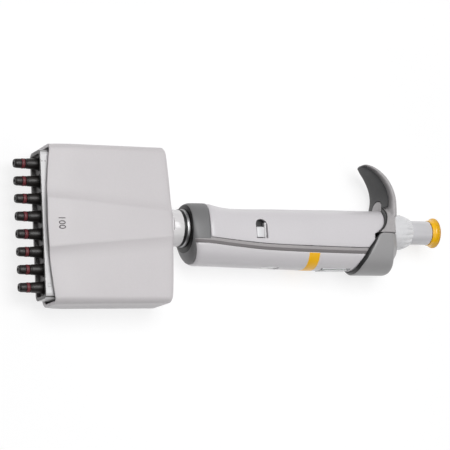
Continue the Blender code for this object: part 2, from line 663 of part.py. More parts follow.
turned("volume_ring", [(227.4, 6.9), (227.4, 7.5), (224.9, 8.5), (222.4, RING_R), (212.7, RING_R),
                       (212.7, 4.7), (215.3, 4.7), (215.3, 6.9)], WHITE, ring=True, seg=24)
spindle = turned("volume_spindle", [(215.0, 2.6), (215.0, 4.2), (141.0, 4.2), (141.0, 2.6)], STEEL,
                 ring=True, seg=14)
gear = extruded("drive_gear", gear_outline(0.5), *GEAR_X, "YZ", cutter=True)
cut(gear, cylinder("drive_gear_bore", 150, 180, 3.4, seg=14, cutter=True))
cut(spindle, gear, "UNION")
turned("stop_nut", [(149.6, 4.5), (149.6, 6.4), (143.6, 6.4), (143.6, 4.5)], WHITE, ring=True, seg=12)

# ejector button: a cradle under the end of the handle, its rear wall cut round the volume ring
BUTTON_HOLE_R = 10.7
BUTTON = (12.8, -23.8, 14.3, -5.0)
BUTTON_FRONT = ((-23.8, 190.2), (-20.1, 191.6), (-15.8, 194.2), (-10.6, 197.0), (-6.8, 199.2),
                (-4.0, 201.2), (-2.7, 202.6))
BUTTON_REAR = ((-23.8, -5.0), (-21.6, -3.5), (-18.3, -2.1), (-13.9, -1.0), (-9.5, -0.2), (0.0, 0.0))


def button_rows():
    rows = []
    count = 17
    a0 = section_angle(200, -2.7, BUTTON)
    for k in range(count):
        a = a0 + (-math.pi - 2 * a0) * k / (count - 1)
        p = section_point(200, a, 0.0, BUTTON)
        y, z = p.y / MM, p.z / MM - REST_HEIGHT
        front = at(BUTTON_FRONT, y)[0]
        rear_x = REAR_X - REAR_DROP * (z / 14.0) ** 2 + at(BUTTON_REAR, y)[0]
        b0 = math.asin(-2.7 / BUTTON_HOLE_R)
        b = b0 + (-math.pi - 2 * b0) * k / (count - 1)
        hole = (BUTTON_HOLE_R * math.sin(b), BUTTON_HOLE_R * math.cos(b))
        row = [P(front + (rear_x - 1.6 - front) * t, y, z) for t in (0.0, 0.35, 0.7, 1.0)]
        row.append(P(rear_x - 0.4, y + (hole[0] - y) * 0.06, z + (hole[1] - z) * 0.06))
        for share in (0.25, 1.0):
            py, pz = y + (hole[0] - y) * share, z + (hole[1] - z) * share
            row.append(P(REAR_X - REAR_DROP * (pz / 14.0) ** 2 + at(BUTTON_REAR, py)[0] * (1 - share * 0.6), py, pz))
        rows.append(row)
    return rows


skin("ejector_button", button_rows(), 1.5, MID, P(200, -6, 0), origin=P(205, -15, 0))

ejector = turned("ejector_rod", [(210.0, 0.0), (210.0, EJECT_ROD_R), (140.5, EJECT_ROD_R), (140.5, 2.4),
                                 (139.0, 2.4), (139.0, EJECT_ROD_R), (109.0, EJECT_ROD_R), (109.0, 0.0)],
                 STEEL, seg=12, y=EJECT_ROD[0], z=EJECT_ROD[1])
tube = turned("ejector_tube", [(110.8, 2.6), (110.8, 4.0), (76.7, 4.0), (76.7, 2.6)], STEEL, ring=True,
              seg=16, cutter=True)
cut(ejector, block("ejector_arm", (108.0, -6.3, -9.5), (111.0, -0.8, -2.9), cutter=True), "UNION")
cut(ejector, tube, "UNION")
cut(ejector, block("ejector_foot", (207.6, -12.0, -9.1), (210.6, -3.2, -6.4), cutter=True), "UNION")
coil("ejector_spring", 118.1, 138.7, 2.15, 0.28, 7.0, 8, STEEL, *EJECT_ROD)
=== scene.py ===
"""Looks of the eight-channel adjustable micropipette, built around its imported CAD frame.

Lengths below are millimetres in the pipette's own axes (x from the cone tips to the push button, y
towards the finger hook, z out of the head's front face). P() turns them into the row frame.
"""

import math

import bmesh
import bpy
from mathutils import Matrix, Vector


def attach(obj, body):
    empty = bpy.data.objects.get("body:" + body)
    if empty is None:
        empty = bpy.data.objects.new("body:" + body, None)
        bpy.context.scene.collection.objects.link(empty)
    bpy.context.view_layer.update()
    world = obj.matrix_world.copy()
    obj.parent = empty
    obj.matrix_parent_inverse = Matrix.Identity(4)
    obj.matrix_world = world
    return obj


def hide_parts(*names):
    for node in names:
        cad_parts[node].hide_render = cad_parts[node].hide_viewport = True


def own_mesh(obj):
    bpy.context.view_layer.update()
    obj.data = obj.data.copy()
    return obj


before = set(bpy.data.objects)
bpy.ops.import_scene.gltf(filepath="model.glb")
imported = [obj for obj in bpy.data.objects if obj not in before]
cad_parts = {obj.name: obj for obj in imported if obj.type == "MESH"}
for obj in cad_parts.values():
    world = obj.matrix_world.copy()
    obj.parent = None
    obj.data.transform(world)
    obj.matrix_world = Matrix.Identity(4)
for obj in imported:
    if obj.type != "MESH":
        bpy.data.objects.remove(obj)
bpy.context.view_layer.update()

MM = 0.001
OVERALL = 243.5
REST = 14.5
CHANNELS = 8


def P(x, y, z):
    return Vector(((x - OVERALL / 2) * MM, y * MM, (z + REST) * MM))


# ================================================================ tables shared with the design
HANDLE = (
    (91.8, 12.0, -11.6, 11.7, 0.0), (92.4, 12.5, -14.6, 12.3, -1.2), (93.4, 12.9, -17.2, 12.7, -2.4),
    (95.0, 13.1, -18.9, 13.0, -3.3), (97.0, 13.15, -19.6, 13.1, -3.8), (101.5, 13.2, -19.7, 13.05, -4.2),
    (105.0, 12.9, -19.75, 12.9, -4.4), (108.5, 12.0, -19.8, 12.7, -4.6), (113.7, 11.1, -20.0, 12.45, -4.8),
    (120.0, 10.6, -20.2, 12.3, -5.0), (142.0, 10.9, -20.8, 12.45, -5.0), (160.0, 11.0, -21.3, 12.6, -5.0),
    (180.0, 11.2, -21.6, 12.5, -5.0), (195.0, 11.2, -21.8, 12.4, -5.0), (210.0, 11.2, -21.9, 12.4, -5.0),
)
SQUARE = 2.3
STRIPE = ((91.3, -7.4), (102.0, -8.0), (118.0, -9.5), (135.4, -10.9), (156.6, -11.6), (183.0, -12.1),
          (210.0, -12.3))
FRONT_FACE = ((13.0, 9.6), (17.0, 10.3), (22.0, 11.0), (28.0, 11.35), (45.0, 11.5), (79.0, 11.6))
BACK_FACE = ((13.0, 9.6), (17.0, 11.8), (21.0, 13.6), (26.0, 14.5), (79.0, 14.5))
BLADE = (
    ((207.8, 7.0), (215.2, 7.0), 12.4), ((208.4, 12.5), (215.7, 12.5), 12.0),
    ((209.4, 17.4), (215.9, 17.8), 11.0), ((208.8, 22.5), (214.6, 24.0), 9.9),
    ((206.9, 27.0), (211.8, 29.4), 8.9), ((204.4, 30.6), (208.0, 33.4), 7.7),
    ((202.0, 33.0), (204.5, 35.7), 6.4), ((200.2, 34.6), (201.8, 36.7), 4.8),
)
REAR_X, REAR_DROP = 216.6, 6.0
SADDLE = (12.8, -30.0, 14.58, -5.0)
BUTTON = (12.8, -23.8, 14.3, -5.0)
BUTTON_FRONT = ((-23.8, 190.2), (-20.1, 191.6), (-15.8, 194.2), (-10.6, 197.0), (-6.8, 199.2),
                (-4.4, 200.5), (-3.2, 201.5), (-2.7, 202.5))
BUTTON_REAR = ((-23.8, -5.0), (-21.6, -3.5), (-18.3, -2.1), (-13.9, -1.0), (-9.5, -0.2), (0.0, 0.0))
UPPER_REAR = ((-30, 199.0), (-2.5, 199.0), (-1.9, 200.9), (0.4, 203.9), (9.2, 206.9), (12.0, 207.6))


def smooth_at(table, x):
    """A smooth curve, without overshoot, through a table whose first column is x."""
    n = len(table)
    if x <= table[0][0]:
        return tuple(float(v) for v in table[0][1:])
    if x >= table[-1][0]:
        return tuple(float(v) for v in table[-1][1:])
    i = next(j for j in range(n - 1) if x <= table[j + 1][0])
    h = table[i + 1][0] - table[i][0]
    t = (x - table[i][0]) / h
    out = []
    for c in range(1, len(table[0])):
        def step(j):
            return (table[j + 1][c] - table[j][c]) / (table[j + 1][0] - table[j][0])

        def slope(j):
            if j == 0:
                return step(0)
            if j == n - 1:
                return step(n - 2)
            a, b = step(j - 1), step(j)
            return 0.0 if a * b <= 0 else 2 * a * b / (a + b)
        p0, p1, m0, m1 = table[i][c], table[i + 1][c], slope(i) * h, slope(i + 1) * h
        out.append((2 * t ** 3 - 3 * t ** 2 + 1) * p0 + (t ** 3 - 2 * t ** 2 + t) * m0
                   + (-2 * t ** 3 + 3 * t ** 2) * p1 + (t ** 3 - t ** 2) * m1)
    return tuple(out)


# ================================================================ materials
def srgb(*c):
    return tuple(((v / 255) / 12.92 if v / 255 <= 0.04045 else ((v / 255 + 0.055) / 1.055) ** 2.4) for v in c)


class Tree:
    def __init__(self, name):
        self.m = bpy.data.materials.new(name)
        self.m.use_nodes = True
        self.t = self.m.node_tree
        self.shader = self.t.nodes["Principled BSDF"]
        self.coords = self.t.nodes.new("ShaderNodeTexCoord").outputs["Object"]

    def node(self, kind, **values):
        n = self.t.nodes.new(kind)
        for key, value in values.items():
            if key in n.inputs:
                n.inputs[key].default_value = value
            else:
                setattr(n, key, value)
        return n

    def link(self, a, b):
        self.t.links.new(a, b)

    def noise(self, scale, detail=2.0, rough=0.5, stretch=None):
        n = self.node("ShaderNodeTexNoise", Scale=scale, Detail=detail, Roughness=rough)
        if stretch:
            mapping = self.node("ShaderNodeMapping")
            mapping.inputs["Scale"].default_value = stretch
            self.link(self.coords, mapping.inputs["Vector"])
            self.link(mapping.outputs["Vector"], n.inputs["Vector"])
        else:
            self.link(self.coords, n.inputs["Vector"])
        return n.outputs["Fac"]

    def spread(self, source, lo, hi, a=0.32, b=0.68):
        n = self.node("ShaderNodeMapRange")
        n.inputs["From Min"].default_value, n.inputs["From Max"].default_value = a, b
        n.inputs["To Min"].default_value, n.inputs["To Max"].default_value = lo, hi
        self.link(source, n.inputs["Value"])
        return n.outputs["Result"]

    def mix(self, fac, a, b, blend="MIX"):
        n = self.t.nodes.new("ShaderNodeMix")
        n.data_type = "RGBA"
        n.blend_type = blend
        for socket, value in ((n.inputs[0], fac), (n.inputs[6], a), (n.inputs[7], b)):
            if isinstance(value, (int, float)):
                socket.default_value = value
            elif isinstance(value, tuple):
                socket.default_value = (*value[:3], 1.0)
            else:
                self.link(value, socket)
        return n.outputs[2]


def finish(name, colour, rough, tint=0.035, vary=0.05, grain=0.12, grain_scale=2600.0, metallic=0.0,
           coat=0.0, mottle=0.0, wear=0.25, specular=0.5, sheen=0.0, stretch=None, waves=0.0):
    """A moulded or ground surface: slow colour drift, fine flecks, uneven gloss, a grain in relief and
    slightly rubbed edges."""
    t = Tree(name)
    s = t.shader
    s.inputs["Metallic"].default_value = metallic
    s.inputs["Specular IOR Level"].default_value = specular
    if coat:
        s.inputs["Coat Weight"].default_value = coat
        s.inputs["Coat Roughness"].default_value = 0.12
    if sheen:
        s.inputs["Sheen Weight"].default_value = sheen
        s.inputs["Sheen Roughness"].default_value = 0.5
    lighter = tuple(min(1.0, c * (1 + tint)) for c in colour)
    darker = tuple(c * (1 - tint) for c in colour)
    slow = t.noise(34.0, 3.0)
    base = t.mix(t.spread(slow, 0.0, 1.0), darker, lighter)
    flecks = t.noise(grain_scale * 0.45, 2.0, 0.6, stretch)
    base = t.mix(t.spread(flecks, 0.0, 0.22 + mottle), base, tuple(c * (0.90 - 0.25 * mottle) for c in colour))
    if mottle:
        patches = t.noise(320.0, 4.0, 0.62)
        base = t.mix(t.spread(patches, 0.0, mottle, 0.40, 0.62), base, tuple(c * 0.72 for c in colour))
    if wear:
        geometry = t.node("ShaderNodeNewGeometry")
        edge = t.spread(geometry.outputs["Pointiness"], 0.0, wear, 0.53, 0.62)
        base = t.mix(edge, base, tuple(min(1.0, c * 1.25 + 0.015) for c in colour))
    t.link(base, s.inputs["Base Color"])
    gloss = t.noise(120.0, 4.0, 0.6, stretch)
    t.link(t.spread(gloss, max(0.02, rough - vary), min(1.0, rough + vary)), s.inputs["Roughness"])
    relief = t.noise(grain_scale, 2.0, 0.55, stretch)
    bump = t.node("ShaderNodeBump")
    bump.inputs["Strength"].default_value = grain
    bump.inputs["Distance"].default_value = 0.00008
    t.link(relief, bump.inputs["Height"])
    normal = bump
    if waves:
        slow_relief = t.node("ShaderNodeBump")
        slow_relief.inputs["Strength"].default_value = waves
        slow_relief.inputs["Distance"].default_value = 0.0006
        t.link(t.noise(85.0, 2.0), slow_relief.inputs["Height"])
        t.link(slow_relief.outputs["Normal"], bump.inputs["Normal"])
    t.link(normal.outputs["Normal"], s.inputs["Normal"])
    return t.m


M = {
    "cover": finish("cover_plastic", srgb(205, 201, 203), 0.42, tint=0.015, vary=0.02, grain=0.10, coat=0.0, wear=0.06),
    "back": finish("back_cover_plastic", srgb(201, 198, 200), 0.42, tint=0.02, vary=0.04, grain=0.10, wear=0.15),
    "shell": finish("handle_plastic", srgb(214, 211, 214), 0.33, tint=0.012, vary=0.012, grain=0.05, coat=0.08, wear=0.03),
    "neck": finish("neck_plastic", srgb(222, 220, 221), 0.20, tint=0.015, vary=0.04, grain=0.04, coat=0.3, wear=0.1),
    "collar": finish("collar_plastic", srgb(120, 120, 121), 0.45, tint=0.05, vary=0.06, grain=0.18, wear=0.2),
    "rail_up": finish("rail_upper_plastic", srgb(164, 160, 161), 0.42, tint=0.04, grain=0.15, wear=0.1),
    "rail_low_shaded": finish("rail_lower_painted_shade", srgb(126, 122, 123), 0.42, tint=0.04, grain=0.15, wear=0.1),
    "tray": finish("tray_plastic", srgb(214, 213, 214), 0.36, tint=0.02, grain=0.08, wear=0.1),
    "tray_inside_shade": finish("tray_inner_painted_shade", srgb(104, 102, 102), 0.45, tint=0.05, grain=0.15, wear=0.2),
    "cone": finish("cone_plastic", srgb(30, 26, 25), 0.44, tint=0.06, vary=0.02, grain=0.05, coat=0.08, wear=0.08),
    "seal": finish("seal_rubber", srgb(104, 40, 46), 0.5, tint=0.06, vary=0.03, grain=0.12, wear=0.1),
    # black: a black plastic, also used as painted shade on the collar's nose-facing faces and on the floor of the
    # neck's slot
    "black": finish("black_plastic_and_painted_shade", srgb(22, 22, 23), 0.42, tint=0.12, grain=0.2, wear=0.3),
    "silver": finish("ring_metal", srgb(192, 192, 193), 0.36, tint=0.02, vary=0.06, grain=0.05, metallic=1.0,
                     stretch=(1.0, 0.04, 0.04)),
    "steel": finish("ground_steel", srgb(178, 179, 181), 0.28, tint=0.03, vary=0.08, grain=0.10, metallic=1.0,
                    stretch=(1.0, 0.05, 0.05)),
    "spring": finish("spring_wire", srgb(160, 160, 162), 0.32, tint=0.04, grain=0.06, metallic=1.0),
    "pad": finish("soft_touch_pad", srgb(50, 50, 51), 0.62, tint=0.06, vary=0.06, grain=0.45, grain_scale=3400.0,
                  wear=0.25, sheen=0.25, specular=0.4),
    "hook": finish("hook_plastic", srgb(176, 173, 174), 0.42, tint=0.05, vary=0.07, grain=0.25, mottle=0.22,
                   wear=0.2),
    "button": finish("button_plastic", srgb(158, 157, 158), 0.36, tint=0.03, vary=0.03, grain=0.12, wear=0.2),
    # dark: painted shade on the ejector button's lip and on the hook's front edge strips, and the port's dark floor
    "dark": finish("dark_plastic_and_painted_shade", srgb(44, 44, 45), 0.30, tint=0.08, vary=0.06, grain=0.12, wear=0.35),
    "inner": finish("inner_plastic", srgb(120, 119, 120), 0.5, tint=0.05, grain=0.2, wear=0.2),
    "white": finish("white_plastic", srgb(222, 222, 224), 0.26, tint=0.015, vary=0.05, grain=0.05, coat=0.2,
                    wear=0.1),
    "sleeve": finish("sleeve_plastic", srgb(206, 205, 208), 0.20, tint=0.015, vary=0.04, grain=0.03, coat=0.35,
                     wear=0.1),
    "yellow": finish("yellow_plastic", srgb(252, 192, 16), 0.26, tint=0.02, vary=0.05, grain=0.05, coat=0.2,
                     wear=0.08),
    "cap_rim_shade": finish("yellow_rim_painted_shade", srgb(206, 148, 28), 0.30, tint=0.04, vary=0.05, grain=0.06, coat=0.2,
                    wear=0.15),
    "band": finish("yellow_ink", srgb(252, 190, 18), 0.36, tint=0.03, vary=0.05, grain=0.06, wear=0.1),
    "print": finish("grey_ink", srgb(96, 92, 94), 0.5, tint=0.08, grain=0.1, wear=0.0),
    "faint": finish("faint_ink", srgb(176, 174, 176), 0.5, tint=0.05, grain=0.1, wear=0.0),
    "digit": finish("digit_ink", srgb(24, 24, 26), 0.45, tint=0.08, grain=0.1, wear=0.0),
}


def lens_material():
    t = Tree("clear_lens")
    s = t.shader
    s.inputs["IOR"].default_value = 1.49
    s.inputs["Transmission Weight"].default_value = 0.92
    s.inputs["Alpha"].default_value = 1.0
    t.link(t.mix(t.spread(t.noise(60.0, 2.0), 0.0, 1.0), srgb(236, 240, 242), srgb(246, 248, 249)), s.inputs["Base Color"])
    t.link(t.spread(t.noise(300.0, 3.0), 0.01, 0.03), s.inputs["Roughness"])
    return t.m


M["lens"] = lens_material()


# ================================================================ mesh helpers
def link_mesh(name, bm, mats):
    bmesh.ops.remove_doubles(bm, verts=bm.verts, dist=2e-7)
    bmesh.ops.dissolve_degenerate(bm, edges=bm.edges, dist=1e-7)
    bmesh.ops.recalc_face_normals(bm, faces=bm.faces)
    mesh = bpy.data.meshes.new(name)
    bm.to_mesh(mesh)
    bm.free()
    obj = bpy.data.objects.new(name, mesh)
    bpy.context.scene.collection.objects.link(obj)
    for m in mats:
        mesh.materials.append(M[m])
    return obj


def shade(obj, degrees=32):
    obj.data.shade_smooth()
    obj.data.set_sharp_from_angle(angle=math.radians(degrees))
    return obj


def settle(obj, degrees=32):
    """Puts an object's modifiers into its mesh."""
    bpy.context.view_layer.update()
    mesh = bpy.data.meshes.new_from_object(obj.evaluated_get(bpy.context.evaluated_depsgraph_get()))
    obj.modifiers.clear()
    old = obj.data
    obj.data = mesh
    bpy.data.meshes.remove(old)
    mesh.name = obj.name
    return shade(obj, degrees)


def drop(obj):
    mesh = obj.data
    bpy.data.objects.remove(obj)
    bpy.data.meshes.remove(mesh)


def cut(obj, cutter, operation="DIFFERENCE"):
    m = obj.modifiers.new("cut", "BOOLEAN")
    m.operation = operation
    m.solver = "EXACT"
    m.object = cutter
    settle(obj)
    drop(cutter)
    return obj


def bevel(obj, width, segments=2, degrees=40):
    m = obj.modifiers.new("bevel", "BEVEL")
    m.width = width * MM
    m.segments = segments
    m.limit_method = "ANGLE"
    m.angle_limit = math.radians(degrees)
    m.harden_normals = False
    m.miter_outer = "MITER_ARC"
    return settle(obj)


def grid(name, rows, mats, close_rows=False, close_cols=False, cap_first=False, cap_last=False):
    bm = bmesh.new()
    vs = [[bm.verts.new(p) for p in row] for row in rows]
    n, m = len(vs), len(vs[0])
    for i in range(n if close_rows else n - 1):
        a, b = vs[i], vs[(i + 1) % n]
        for j in range(m if close_cols else m - 1):
            k = (j + 1) % m
            bm.faces.new((a[j], a[k], b[k], b[j]))
    if cap_first:
        bm.faces.new(vs[0])
    if cap_last:
        bm.faces.new(vs[-1])
    return link_mesh(name, bm, mats)


def rounded(profile, n=4):
    """Rounds the corners of a profile of (x, r, fillet)."""
    out = []
    for i, p in enumerate(profile):
        f = p[2] if len(p) > 2 else 0.0
        if f <= 0 or i in (0, len(profile) - 1):
            out.append((p[0], p[1]))
            continue
        a, b, c = Vector(profile[i - 1][:2]), Vector(p[:2]), Vector(profile[i + 1][:2])
        u, v = (a - b), (c - b)
        lu, lv = u.length, v.length
        u.normalize(), v.normalize()
        half = math.acos(max(-1, min(1, u.dot(v)))) / 2
        reach = min(f / math.tan(half), lu * 0.49, lv * 0.49)
        p0, p1 = b + u * reach, b + v * reach
        for k in range(n + 1):
            t = k / n
            q = (1 - t) ** 2 * p0 + 2 * t * (1 - t) * b + t ** 2 * p1
            out.append((q.x, q.y))
    return out


def lathe(name, profile, mats, seg=64, y=0.0, z=0.0, ring=False, radial=None, fillets=4):
    """Turned about a line parallel to X. profile is (x, r[, fillet]) from high x to low x outside."""
    pts = rounded(profile + (profile[:1] if ring else []), fillets)
    if ring:
        pts = pts[:-1]
    rows = []
    for k in range(seg):
        a = 2 * math.pi * k / seg
        row = []
        for x, r in pts:
            rr = radial(x, r, a) if radial else r
            row.append(P(x, y + rr * math.cos(a), z + rr * math.sin(a)))
        rows.append(row)
    return shade(grid(name, rows, mats, close_rows=True, close_cols=ring))


def box(name, lo, hi, mats, round_by=0.0, segments=3):
    bm = bmesh.new()
    a, b = P(*lo), P(*hi)
    bmesh.ops.create_cube(bm, size=1.0, matrix=Matrix.Translation((a + b) / 2) @ Matrix.Diagonal((*(b - a), 1.0)))
    obj = link_mesh(name, bm, mats)
    if round_by:
        bevel(obj, round_by, segments)
    return obj


def prism(name, outline, lo, hi, plane, mats):
    """A flat outline with a thickness. plane is YZ (lo..hi along x), XY (along z) or XZ (along y)."""
    place = {"YZ": lambda u, v, w: P(w, u, v), "XY": lambda u, v, w: P(u, v, w), "XZ": lambda u, v, w: P(u, w, v)}[plane]
    rows = [[place(u, v, w) for u, v in outline] for w in (lo, hi)]
    return grid(name, rows, mats, close_cols=True, cap_first=True, cap_last=True)


def rod(name, x0, x1, r, y, z, mats, seg=48):
    return lathe(name, [(x1, 0.0), (x1, r), (x0, r), (x0, 0.0)], mats, seg, y, z)


def ride(obj, body, *nodes, slot=None):
    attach(obj, body)
    if nodes:
        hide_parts(*nodes)
    return obj


def paint(obj, index, test):
    """Gives a second material to the faces whose centre and normal (in pipette axes) pass a test."""
    for f in obj.data.polygons:
        c = f.center
        if test(c.x / MM + OVERALL / 2, c.y / MM, c.z / MM - REST, f.normal):
            f.material_index = index


# ================================================================ handle section
def section_point(x, angle, inset=0.0, shape=None):
    top, bottom, half, middle = shape or smooth_at(HANDLE, x)
    s, c = math.sin(angle), math.cos(angle)
    up, down, wide = top - middle - inset, middle - bottom - inset, half - inset
    y = up * abs(s) ** (2 / SQUARE) if s >= 0 else -down * abs(s) ** (2 / SQUARE)
    z = math.copysign(wide * abs(c) ** (2 / SQUARE), c)
    return P(x, middle + y, z)


def section_angle(x, y, shape=None):
    top, bottom, half, middle = shape or smooth_at(HANDLE, x)
    if y >= middle:
        return math.asin(min(1.0, ((y - middle) / (top - middle)) ** (SQUARE / 2)))
    return -math.asin(min(1.0, ((middle - y) / (middle - bottom)) ** (SQUARE / 2)))


def section_side(x, y, inset=0.0, side=1):
    top, bottom, half, middle = smooth_at(HANDLE, x)
    reach = (top - middle if y > middle else middle - bottom) - inset
    t = min(1.0, abs(y - middle) / reach)
    return P(x, y, side * (half - inset) * (1 - t ** SQUARE) ** (1 / SQUARE))


def section_ring(x, inset=0.0, count=112, shape=None):
    return [section_point(x, 2 * math.pi * (i + 0.5) / count, inset, shape) for i in range(count)]


# ================================================================ head
HEAD_HALF_WIDTH, SPLIT, WALL, NECK_HOLE = 40.75, 0.15, 1.6, 10.0


def channel_y(i):
    return (i - (CHANNELS - 1) / 2) * 9.0


def head_x(x, y):
    t = (x - 13.0) / 68.0
    return x + 3.0 * (y / 39.0) ** 2 * max(0.0, 1 - t * 3.0) - 1.7 * (y / 40.0) ** 2 * max(0.0, t * 3.0 - 2.0)


def head_section(x, side, shrink):
    """From -Y to +Y: wall, rounded edge, face, and on the front a raised middle band whose flanks fade
    outwards from a crisp crease."""
    face = smooth_at(FRONT_FACE if side > 0 else BACK_FACE, x)[0]
    w = HEAD_HALF_WIDTH - 0.35 * max(0.0, (x - 20.0) / 60.0) - shrink
    h = face - shrink
    r = 3.4
    band = 12.6 - 5.9 * min(1.0, max(0.0, (x - 14.0) / 66.0))
    lift = 1.15 if side > 0 else 0.0
    crown = 0.25 if side > 0 else 0.0
    half = [(w, SPLIT + (h - r - SPLIT) * k / 3) for k in range(3)]
    for k in range(10):
        a = math.pi / 2 * k / 9
        half.append((w - r + r * math.cos(a), h - r + r * math.sin(a)))
    outer = w - r

    def height(y):
        base = h + crown * (1 - (y / w) ** 2)
        if y <= band:
            return base + lift + 0.06 * (1 - (y / band) ** 2) * (side > 0)
        return base + lift * max(0.0, 1 - (y - band) / 8.5) ** 2.6
    for k in range(1, 26):
        t = k / 26
        y = outer + (band - outer) * (1 - (1 - t) ** 1.7)
        half.append((y, height(y)))
    for k in range(9):
        y = band * (1 - k / 9)
        half.append((y, height(y)))
    row = [(-y, z) for y, z in half] + [(0.0, height(0.0))] + [(y, z) for y, z in reversed(half)]
    return [(y, side * z) for y, z in row]


def head_cover(name, side, mat):
    stations = [(13.0, 0.0), (13.6, 0.0), (14.6, 0.0), (16.0, 0.0), (17.5, 0.0), (19.5, 0.0), (22.0, 0.0), (25.0, 0.0),
                (28.0, 0.0), (33.0, 0.0)] + [(38.0 + 5.0 * k, 0.0) for k in range(8)] + [(76.5, 0.0), (78.4, 0.0)]
    for k in range(1, 8):
        a = math.pi / 2 * k / 8
        stations.append((78.6 + 2.4 * math.sin(a), 2.4 * (1 - math.cos(a))))
    rows = [[P(head_x(x, y), y, z) for y, z in head_section(min(x, 79.0) if x > 79 else x, side, s)] for x, s in stations]
    edge = head_section(79.0, side, 2.4)
    count = len(edge)
    for share in (0.0, 0.3, 0.6, 0.85, 1.0):
        row = []
        for i, (y, z) in enumerate(edge):
            a = math.pi - math.pi * i / (count - 1)
            hole = (NECK_HOLE * math.cos(a), side * max(SPLIT, NECK_HOLE * math.sin(a)))
            py, pz = y + (hole[0] - y) * share, z + (hole[1] - z) * share
            row.append(P(head_x(81.0, py), py, pz))
        rows.append(row)
    obj = shade(grid(name, rows, [mat, "cover_inside_shade"]), 25)
    # the surface's outside faces away from the middle of the head
    inside = P(48, 0, 0)
    if sum((f.center - inside).dot(f.normal) * f.area for f in obj.data.polygons) < 0:
        obj.data.flip_normals()
    wall = obj.modifiers.new("wall", "SOLIDIFY")
    wall.thickness = WALL * MM
    wall.offset = -1.0
    wall.use_even_offset = True
    wall.material_offset = 1
    wall.material_offset_rim = 0
    settle(obj, 25)
    return bevel(obj, 0.22, 2, 50)


# painted shade: the head covers' inner faces are a darker grey, so the gap at the nose reads dark
M["cover_inside_shade"] = finish("cover_inner_painted_shade", srgb(150, 148, 149), 0.55, tint=0.04, grain=0.2, wear=0.1)
ride(head_cover("head_front_shell", 1, "cover"), "head", "head_front_cover", slot="light_plastic")
ride(head_cover("head_back_shell", -1, "back"), "head", "head_back_cover", slot="light_plastic")


def text_mesh(name, body, size, mat, place):
    """Plain figures as thin raised ink. place turns a point of the flat text into the row frame."""
    curve = bpy.data.curves.new(name, "FONT")
    curve.body = body
    curve.size = size
    curve.align_x = "CENTER"
    curve.align_y = "CENTER"
    curve.extrude = 0.0
    curve.offset = 0.016
    curve.resolution_u = 6
    holder = bpy.data.objects.new(name + "_text", curve)
    bpy.context.scene.collection.objects.link(holder)
    bpy.context.view_layer.update()
    flat = bpy.data.meshes.new_from_object(holder.evaluated_get(bpy.context.evaluated_depsgraph_get()))
    bpy.data.objects.remove(holder)
    bpy.data.curves.remove(curve)
    bm = bmesh.new()
    bm.from_mesh(flat)
    bpy.data.meshes.remove(flat)
    bmesh.ops.remove_doubles(bm, verts=bm.verts, dist=1e-6)
    top = bmesh.ops.extrude_face_region(bm, geom=list(bm.faces))
    for v in bm.verts:
        v.co.z = 0.0
    for v in top["geom"]:
        if isinstance(v, bmesh.types.BMVert):
            v.co.z = 1.0
    for v in bm.verts:
        v.co = place(v.co.x, v.co.y, v.co.z)
    bmesh.ops.recalc_face_normals(bm, faces=bm.faces)
    mesh = bpy.data.meshes.new(name)
    bm.to_mesh(mesh)
    bm.free()
    mesh.materials.clear()
    mesh.materials.append(M[mat])
    obj = bpy.data.objects.new(name, mesh)
    bpy.context.scene.collection.objects.link(obj)
    return obj


def head_top(x, y):
    """Height of the head's front face."""
    face = smooth_at(FRONT_FACE, x)[0]
    return face + 0.25 * (1 - (y / 40.0) ** 2) + 1.15 + 0.06 * (1 - (y / 12.0) ** 2)


ride(text_mesh("volume_mark", "100", 4.9, "print",
               lambda u, v, w: P(19.8 + v, -0.35 - u * 0.92, head_top(19.8 + v, 0.0) - 0.01 + 0.03 * w)), "head",
     slot="dark_plastic")

# tray that pushes the tips off: light outside, and inside a darker grey that is painted shade, with a hole round each
# cone
def rounded_rectangle(half_y, half_z, r, each=10):
    points = []
    for cy, cz, start in ((half_y - r, half_z - r, 0), (r - half_y, half_z - r, 90),
                          (r - half_y, r - half_z, 180), (half_y - r, r - half_z, 270)):
        for k in range(each + 1):
            a = math.radians(start + 90 * k / each)
            points.append((cy + r * math.cos(a), cz + r * math.sin(a)))
    return points


tray = prism("tray", rounded_rectangle(37.8, 7.5, 3.0), 11.6, 24.0, "YZ", ["tray", "tray_inside_shade"])
cut(tray, prism("pocket_a", rounded_rectangle(36.0, 5.9, 1.6), 5.0, 13.6, "YZ", []))
cut(tray, prism("pocket_b", rounded_rectangle(36.3, 6.0, 1.8), 15.4, 30.0, "YZ", []))
for i in range(CHANNELS):
    cut(tray, rod(f"hole_{i}", 10.0, 20.0, 3.7, channel_y(i), 0.0, [], 40))
bevel(tray, 0.3, 3, 50)
# painted shade: the faces inside the tray's rim get the darker grey
paint(tray, 1, lambda x, y, z, n: (abs(z) < 6.9 and abs(y) < 37.1))
ride(tray, "ejector_bar", "ejector_bar", slot="mid_plastic")


def disc(name, x, y, z, r, mat, body):
    rows = [[P(x + q * math.cos(2 * math.pi * k / 24), y + q * math.sin(2 * math.pi * k / 24), z + h) for k in range(24)]
            for q, h in ((r, 0.0), (r, 0.02), (r * 0.8, 0.03))]
    return ride(shade(grid(name, rows, [mat], close_cols=True, cap_first=True, cap_last=True)), body)


disc("tray_dot_1", 12.3, 31.6, 7.49, 0.42, "faint", "ejector_bar")
disc("tray_dot_2", 14.0, 31.6, 7.49, 0.42, "faint", "ejector_bar")


def frame_mark(name, x0, x1, y0, y1, z, w, mat, body):
    outer = [(x0, y0), (x1, y0), (x1, y1), (x0, y1)]
    inner = [(x0 + w, y0 + w), (x1 - w, y0 + w), (x1 - w, y1 - w), (x0 + w, y1 - w)]
    rows = [[P(x, y, z) for x, y in outer], [P(x, y, z + 0.03) for x, y in outer],
            [P(x, y, z + 0.03) for x, y in inner], [P(x, y, z) for x, y in inner]]
    return ride(grid(name, rows, [mat], close_rows=True, close_cols=True), body)


frame_mark("tray_square", 12.7, 14.6, -32.2, -30.2, 7.49, 0.22, "faint", "ejector_bar")

